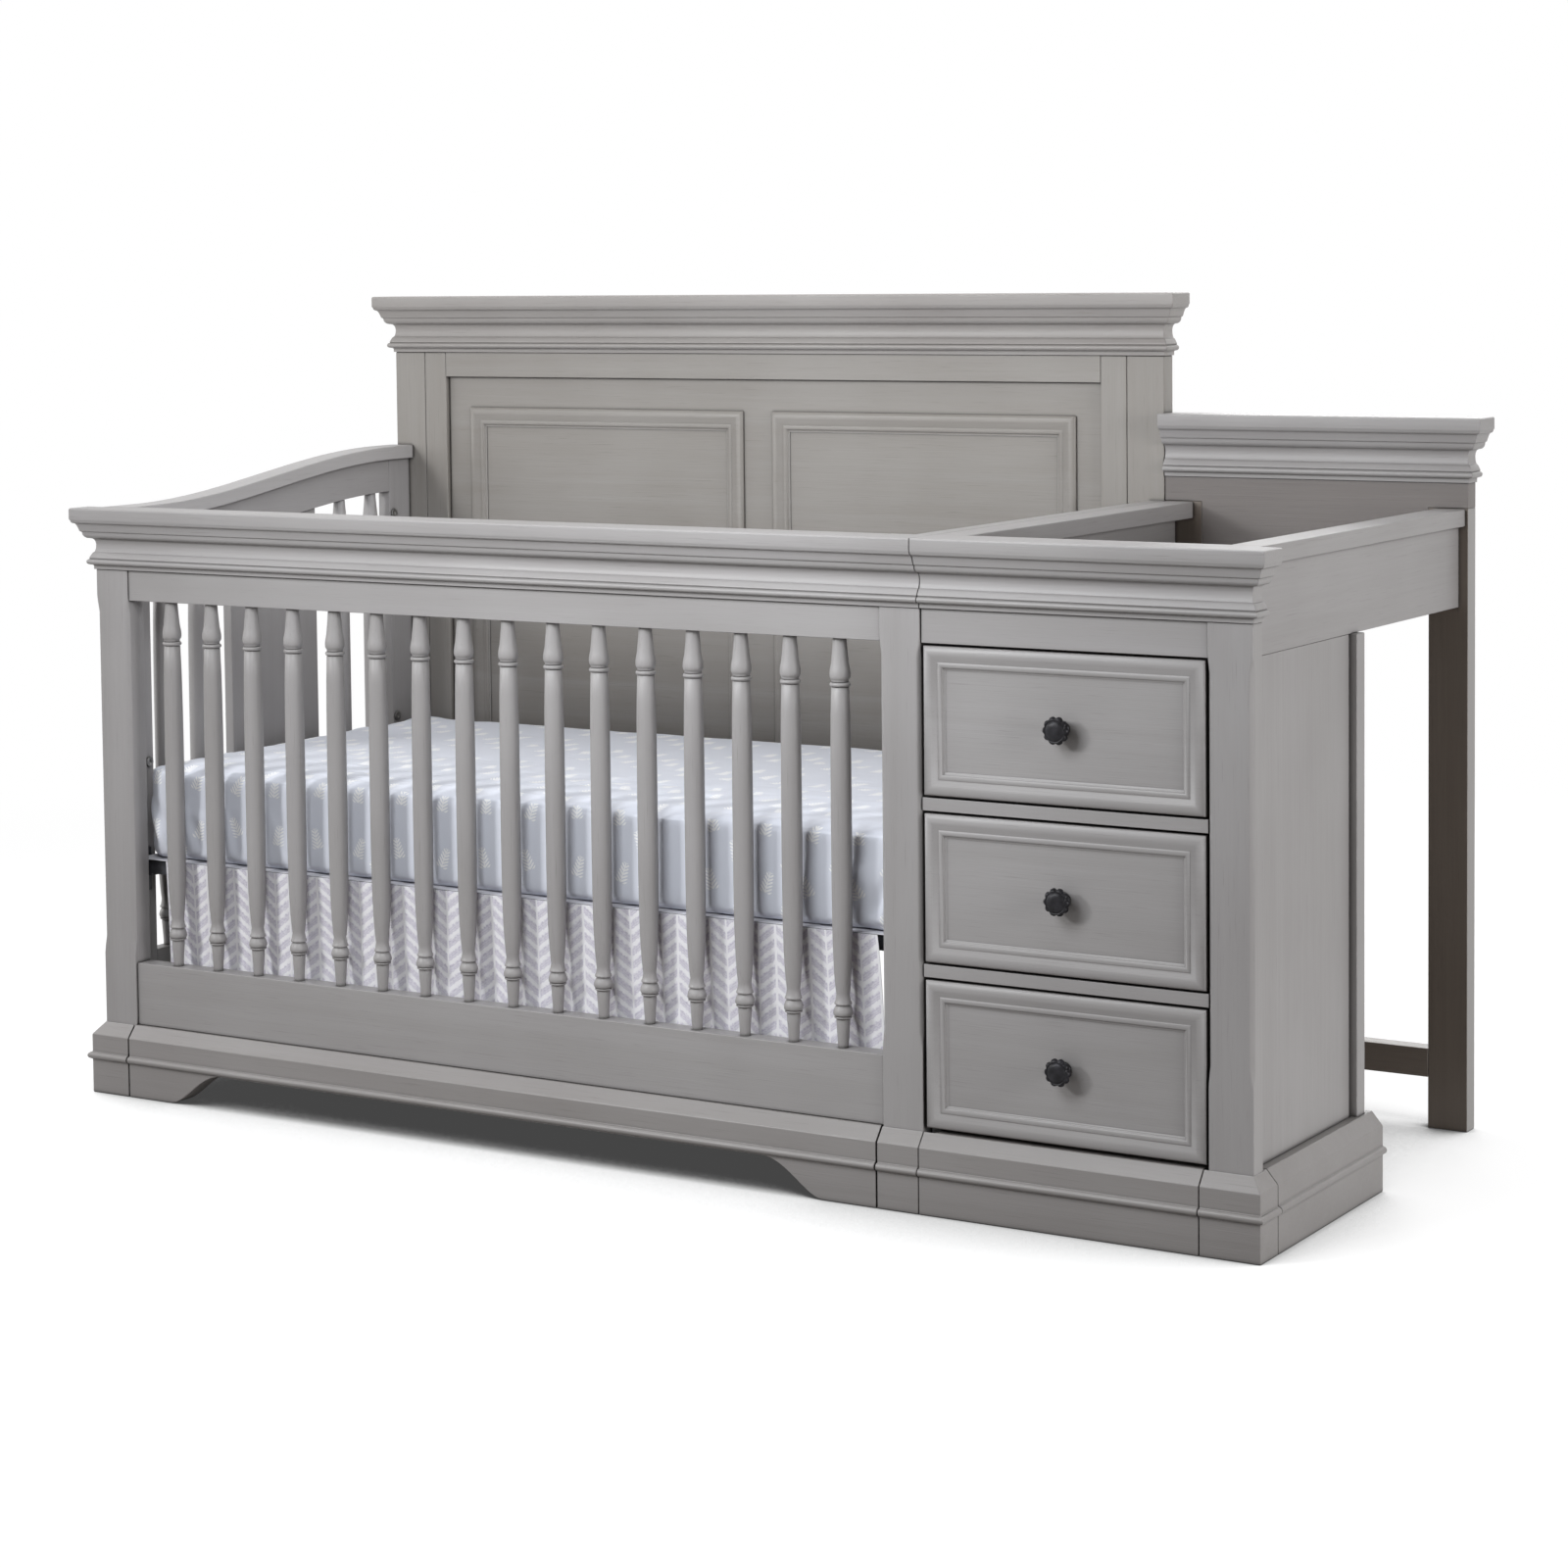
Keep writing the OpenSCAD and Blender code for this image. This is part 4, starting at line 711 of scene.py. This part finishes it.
def sprig_cotton(name):
    """Pale blue-grey cotton with small white sprigs in scattered places and turns."""
    finish, tree, skin = new_finish(name)
    uv, u, v = flat_map(tree, "cut")
    # Each sprig stands in a cell of its own; the rows of cells run slantwise.
    stagger = tree.nodes.new("ShaderNodeVectorRotate")
    stagger.rotation_type = "Z_AXIS"
    stagger.inputs["Angle"].default_value = math.pi / 4
    cells = tree.nodes.new("ShaderNodeTexVoronoi")
    cells.voronoi_dimensions = "2D"
    cells.inputs["Scale"].default_value = 19.0
    cells.inputs["Randomness"].default_value = 0.28
    tree.links.new(uv, stagger.inputs["Vector"])
    tree.links.new(stagger.outputs[0], cells.inputs["Vector"])
    away = tree.nodes.new("ShaderNodeVectorMath")
    away.operation = "SUBTRACT"
    tree.links.new(stagger.outputs[0], away.inputs[0])
    tree.links.new(cells.outputs["Position"], away.inputs[1])
    # The cell's own colour turns the sprig, and leaves a few cells empty.
    tone = tree.nodes.new("ShaderNodeSeparateColor")
    tree.links.new(cells.outputs["Color"], tone.inputs[0])
    spin = tree.nodes.new("ShaderNodeVectorRotate")
    spin.rotation_type = "Z_AXIS"
    tree.links.new(away.outputs[0], spin.inputs["Vector"])
    tree.links.new(scaled(tree, tone.outputs[0], 1.0, -0.5 - math.pi / 4), spin.inputs["Angle"])
    kept = ramp(tree, tone.outputs[1], 0.10, 0.12)
    parts = tree.nodes.new("ShaderNodeSeparateXYZ")
    tree.links.new(spin.outputs[0], parts.inputs[0])
    along = parts.outputs[1]
    side = calc(tree, "ABSOLUTE", parts.outputs[0])
    # Leaves in pairs: slanting ovals that repeat up the stem and shrink towards its tip.
    leaf_step, leaf_width, leaf_offset = 0.0052, 0.0050, 0.0034
    climb = added(tree, along, scaled(tree, side, -0.75))
    leaf = scaled(tree, calc(tree, "FRACT", scaled(tree, climb, 1 / leaf_step)), 1.0, -0.5)
    up = calc(tree, "POWER", scaled(tree, calc(tree, "ABSOLUTE", leaf), 2.9), 2.0)
    width = scaled(tree, along, -0.20, leaf_width)
    out = calc(tree, "DIVIDE", scaled(tree, side, 1.0, -leaf_offset), width)
    leaves = ramp(tree, added(tree, up, calc(tree, "POWER", out, 2.0)), 1.15, 0.65)
    drawn = calc(tree, "MAXIMUM", leaves, ramp(tree, side, 0.0011, 0.0005))
    length = ramp(tree, calc(tree, "ABSOLUTE", along), 0.0150, 0.0136)
    patches = fibres(tree, (1, 1, 1), 7, 3)
    ground = mix_colour(tree, patches, srgb(219, 222, 232), srgb(228, 231, 240))
    sprig = product(tree, drawn, length, kept)
    tree.links.new(mix_colour(tree, sprig, ground, srgb(255, 255, 255)), skin.inputs["Base Color"])
    soft_cotton(skin, 0.85, 0.15, 0.3)
    cloth_weave(tree, skin, 1400, 0.30, fibres(tree, (0.25, 1, 1), 38, 3))
    return finish


low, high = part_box("mattress")
size = high - low
corner_radius, edge_radius = 0.038, 0.011
mesh_step = 0.0075
swell_frames, most_swell = 20, 0.005
bpy.ops.object.select_all(action="DESELECT")
bpy.ops.mesh.primitive_cube_add(size=1, location=(low + high) / 2)
mattress = bpy.context.object
mattress.name = "mattress_in_sheet"
# A little smaller than its CAD solid, which leaves room for the swelling and the rumples.
mattress.scale = (size.x * 0.996, size.y * 0.996, size.z * 0.985)
bpy.ops.object.transform_apply(location=True, rotation=True, scale=True)
bpy.ops.object.mode_set(mode="EDIT")
bpy.ops.mesh.select_mode(type="EDGE")
bpy.ops.mesh.select_all(action="DESELECT")
bpy.ops.object.mode_set(mode="OBJECT")
for edge in mattress.data.edges:
    ends = [mattress.data.vertices[i].co for i in edge.vertices]
    edge.select = abs(ends[0].z - ends[1].z) > 0.05
bpy.ops.object.mode_set(mode="EDIT")
bpy.ops.mesh.bevel(offset=corner_radius, segments=6, affect="EDGES")
bpy.ops.object.mode_set(mode="OBJECT")
soften(mattress, edge_radius, sharpest=60)
even = mattress.modifiers.new("even_mesh", "REMESH")
even.mode = "VOXEL"
even.voxel_size = mesh_step
bpy.ops.object.modifier_apply(modifier=even.name)
start = [v.co.copy() for v in mattress.data.vertices]
swell = mattress.modifiers.new("stuffing", "CLOTH")
swell.settings.quality = 4
swell.settings.mass = 0.4
swell.settings.tension_stiffness = 12
swell.settings.compression_stiffness = 12
swell.settings.bending_stiffness = 0.4
swell.settings.use_pressure = True
swell.settings.uniform_pressure_force = 4
swell.settings.effector_weights.gravity = 0
swell.point_cache.frame_start = 1
swell.point_cache.frame_end = swell_frames
for step in range(1, swell_frames + 1):
    scene.frame_set(step)
pick(mattress)
bpy.ops.object.modifier_apply(modifier=swell.name)
scene.frame_set(1)
for v, rest in zip(mattress.data.vertices, start):
    move = v.co - rest
    if move.length > most_swell:
        v.co = rest + move.normalized() * most_swell
smooth = mattress.modifiers.new("finer", "SUBSURF")
smooth.levels = 1
smooth.render_levels = 1
pick(mattress)
bpy.ops.object.modifier_apply(modifier=smooth.name)


def fold(along, across, length, width):
    """A soft fold that is highest at its root and fades towards its tip."""
    if along < 0 or along > length:
        return 0.0
    rise = math.sin(math.pi * min(1, along / length + 0.12)) ** 0.7
    return rise * math.exp(-((across / width) ** 2))


# Folds by the corners, as (distance from the corner, slant, height); at the ends all slant alike.
front_folds = (
    (0.055, 0.9, 0.0052), (0.105, 0.55, 0.0042), (0.175, 0.35, 0.003), (0.27, 0.5, 0.002),
)
end_folds = ((0.06, 0.004), (0.12, 0.003), (0.2, 0.002))


def rumple(point, normal):
    """How far the sheet stands out at a point, in metres."""
    u, v, w = point.x, point.y, point.z
    out = 0.0
    if normal.z > 0.6:
        pull = 1 + 1.5 * math.exp(-(((v - low.y) / 0.25) ** 2))
        out += 0.0018 * pull * noise.noise(Vector((u * 5.5, v * 26, 0.3)))
        out += 0.0013 * pull * noise.noise(Vector((u * 12, v * 62, 4.1)))
    if abs(normal.z) < 0.75:
        out += 0.0014 * noise.noise(Vector((u * 10 + v * 10, w * 8, 7.7)))
    near_x = min(u - low.x, high.x - u)
    near_y = min(v - low.y, high.y - v)
    up = w - low.z
    if near_y < 0.05 and normal.z < 0.6:
        for root, slant, tall in front_folds:
            lean = math.atan(slant)
            dx, dz = near_x - root, up - 0.012
            along = dx * -math.sin(lean) * 0.6 + dz * math.cos(lean)
            across = dx * math.cos(lean) + dz * math.sin(lean) * 0.6
            out += tall * fold(along, across, 0.085, 0.0075)
            out -= 0.6 * tall * fold(along, across - 0.013, 0.075, 0.007)
    if near_x < 0.05 and normal.z < 0.6:
        for root, tall in end_folds:
            out += tall * fold(up, near_y - root + up * 0.4, 0.08, 0.009)
    return out


mattress.data.update()
shifts = [v.co + v.normal * rumple(v.co, v.normal) for v in mattress.data.vertices]
for v, place in zip(mattress.data.vertices, shifts):
    v.co = place
    v.co.x = min(max(v.co.x, low.x - 0.003), high.x + 0.003)
    v.co.y = min(max(v.co.y, low.y - 0.0008), high.y + 0.0008)
    v.co.z = min(max(v.co.z, low.z), high.z + 0.004)
cut = mattress.data.uv_layers.new(name="cut")
for polygon in mattress.data.polygons:
    n = polygon.normal
    for i in polygon.loop_indices:
        p = mattress.data.vertices[mattress.data.loops[i].vertex_index].co
        drop = high.z - p.z
        u, v = p.x, p.y
        if n.y < -0.6:
            v = low.y - drop
        elif n.y > 0.6:
            v = high.y + drop
        elif n.x < -0.6:
            u = low.x - drop
        elif n.x > 0.6:
            u = high.x + drop
        cut.data[i].uv = (u, v)
pick(mattress)
bpy.ops.object.shade_smooth()
finished(mattress, sprig_cotton("sprig_cotton"), "mattress", body="mattress")

# ---- Chest carcass --------------------------------------------------------------------------
# A case of veneered boards behind a solid corner post and a rear stile. Its side panel is set
# back between them, with an open groove beside the rear stile.
for node in ("chest_corner_post", "chest_rear_stile"):
    sanded(node, stone["z"], arris=0.0014)
for node in ("chest_left_side", "chest_right_side", "chest_back"):
    sanded(node, stone["z"])
for node in ("chest_bottom", "chest_apron", "drawer_dividers"):
    sanded(node, stone["x"])

# ---- Chest crown and base -------------------------------------------------------------------
# The same crown and base mouldings as the crib's, mitred round the chest's corner. The crown
# carries the front board of the tray, and the base is in three lengths with open seams.
sanded("chest_crown", stone["x"], arris=0.0008)
sanded("chest_base", base_painted_shade_stain, arris=0.0012)

# ---- Drawers --------------------------------------------------------------------------------
# Three drawers on wooden runners. Each front is one board with a moulded edge worked round a
# flat field; the box behind it is plain pale hardwood, and the knob is cast and blackened.
pale_hardwood = stains(
    "pale_hardwood", "y", (214, 196, 162), (198, 176, 138), (150, 122, 84), (222, 206, 176)
)["y"]
sanded("drawer_runners", pale_hardwood, arris=0.0006)


def moulded_front(node, finish, body):
    """A board whose face is worked in steps, from its sanded arris in to the flat field."""
    low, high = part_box(node)
    field_depth, arris_height = 0.007, 0.0022
    front = low.y + field_depth - arris_height
    scene.tool_settings.mesh_select_mode = (False, False, True)
    bpy.ops.object.select_all(action="DESELECT")
    bpy.ops.mesh.primitive_cube_add(
        size=1, location=((low.x + high.x) / 2, (front + high.y) / 2, (low.z + high.z) / 2)
    )
    piece = bpy.context.object
    piece.name = node + "_wood"
    piece.scale = (high.x - low.x, high.y - front, high.z - low.z)
    bpy.ops.object.transform_apply(location=True, rotation=True, scale=True)
    bpy.ops.object.mode_set(mode="EDIT")
    bpy.ops.mesh.select_all(action="DESELECT")
    bpy.ops.object.mode_set(mode="OBJECT")
    for polygon in piece.data.polygons:
        polygon.select = polygon.normal.y < -0.9
    bpy.ops.object.mode_set(mode="EDIT")
    # (distance in from the edge, height over the flat field)
    steps = (
        (0.0004, 0.0031), (0.0012, 0.0039), (0.0023, 0.0049), (0.0037, 0.0057), (0.0055, 0.0065),
        (0.0080, 0.0070), (0.0112, 0.0070), (0.0135, 0.0063), (0.0168, 0.0050), (0.0195, 0.0041),
        (0.0206, 0.0036), (0.0210, 0.0041), (0.0222, 0.0046), (0.0241, 0.0047), (0.0258, 0.0044),
        (0.0270, 0.0037), (0.0276, 0.0026), (0.0282, 0.0019), (0.0300, 0.0014), (0.0310, 0.0),
    )
    inset, height = 0.0, arris_height
    for distance, rise in steps:
        bpy.ops.mesh.inset(thickness=distance - inset, depth=rise - height)
        inset, height = distance, rise
    bpy.ops.object.mode_set(mode="OBJECT")
    soften(piece, 0.0006, sharpest=60)
    return finished(piece, finish, node, body)


def lobed_knob(node, finish, body):
    """A cast knob: a round foot, a thin neck and a flat head with ten lobes round its rim."""
    low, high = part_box(node)
    middle = Vector(((low.x + high.x) / 2, high.y, (low.z + high.z) / 2))
    r, out = (high.z - low.z) / 2, high.y - low.y
    shares = (
        (0.52, 0), (0.55, 0.02), (0.55, 0.07), (0.50, 0.11), (0.40, 0.15), (0.35, 0.26),
        (0.34, 0.38), (0.42, 0.46), (0.60, 0.51), (0.84, 0.55), (0.95, 0.59), (1.0, 0.65),
        (1.0, 0.74), (0.96, 0.82), (0.88, 0.88), (0.80, 0.90), (0.76, 0.885), (0.70, 0.885),
        (0.64, 0.93), (0.50, 0.975), (0.28, 0.995), (0.04, 1.0),
    )
    outline = [(r * wide, out * far) for wide, far in shares]
    piece = turned(node + "_metal", middle, (0, -1, 0), outline, sides=80)
    lobes, lobe_start, lobe_depth = 10, 0.78, 0.13
    for v in piece.data.vertices:
        away = v.co - middle
        away.y = 0
        if away.length > r * lobe_start:
            lobe = 0.5 + 0.5 * math.cos(lobes * math.atan2(away.z, away.x))
            share = min(1, (away.length / r - lobe_start) / 0.14)
            k = 1 - lobe_depth * share * (1 - lobe) ** 2
            v.co.x = middle.x + away.x * k
            v.co.z = middle.z + away.z * k
    piece.data.update()
    return finished(piece, finish, node, body)


black_iron = painted_steel("blackened_iron", srgb(18, 17, 20), srgb(62, 61, 66), 0.25, 0.26)
black_iron.node_tree.nodes["Principled BSDF"].inputs["Specular IOR Level"].default_value = 0.22
for name in ("top_drawer", "middle_drawer", "bottom_drawer"):
    moulded_front(name + "_front", stone["x"], name)
    sanded(name + "_box", pale_hardwood, body=name, arris=0.0008)
    lobed_knob(name + "_knob", black_iron, name)

# ---- Changing tray --------------------------------------------------------------------------
# A shallow tray behind the chest's crown: flat rim strips on side walls, and a level board for
# a changing pad. The right wall is the apron that shows at the side.
for node in ("tray_rims", "tray_left_wall", "tray_right_apron"):
    sanded(node, stone["y"], arris=0.0016 if node == "tray_rims" else 0.0010)
sanded("tray_board", stone["x"])

# ---- Changer back ---------------------------------------------------------------------------
# Two plain legs carry a back rail that lies over them under its own crown moulding, with a
# stretcher low between the legs. Legs and stretcher are painted dark brown as painted shade, and
# their sides that face along X are painted lighter as painted light; the rail is painted a less
# dark painted shade.
painted_shade_stains = stains(
    "painted_shade_stain", "xz", (109, 99, 90), (98, 88, 79), (57, 50, 44), (119, 110, 102)
)
for finish in painted_shade_stains.values():
    tree = finish.node_tree
    lacquer = tree.nodes["Principled BSDF"]
    stain = lacquer.inputs["Base Color"].links[0].from_socket
    facing = tree.nodes.new("ShaderNodeSeparateXYZ")
    tree.links.new(tree.nodes.new("ShaderNodeNewGeometry").outputs["Normal"], facing.inputs[0])
    # Painted light: faces that look along X are painted lighter than the fronts.
    aside = ramp(tree, calc(tree, "ABSOLUTE", facing.outputs["X"]), 0.5, 0.9)
    painted_side_light = mix_colour(tree, 0.80, stain, srgb(162, 160, 159))
    tree.links.new(mix_colour(tree, aside, stain, painted_side_light), lacquer.inputs["Base Color"])
sanded("changer_back_legs", painted_shade_stains["z"])
sanded("changer_stretcher", painted_shade_stains["x"])
painted_shade_rail = stains(
    "painted_shade_rail_stain", "x", (110, 104, 101), (102, 96, 93), (56, 51, 48), (126, 120, 116)
)["x"]
sanded("changer_back_rail", painted_shade_rail)
sanded("changer_crown", stone["x"], arris=0.0008)
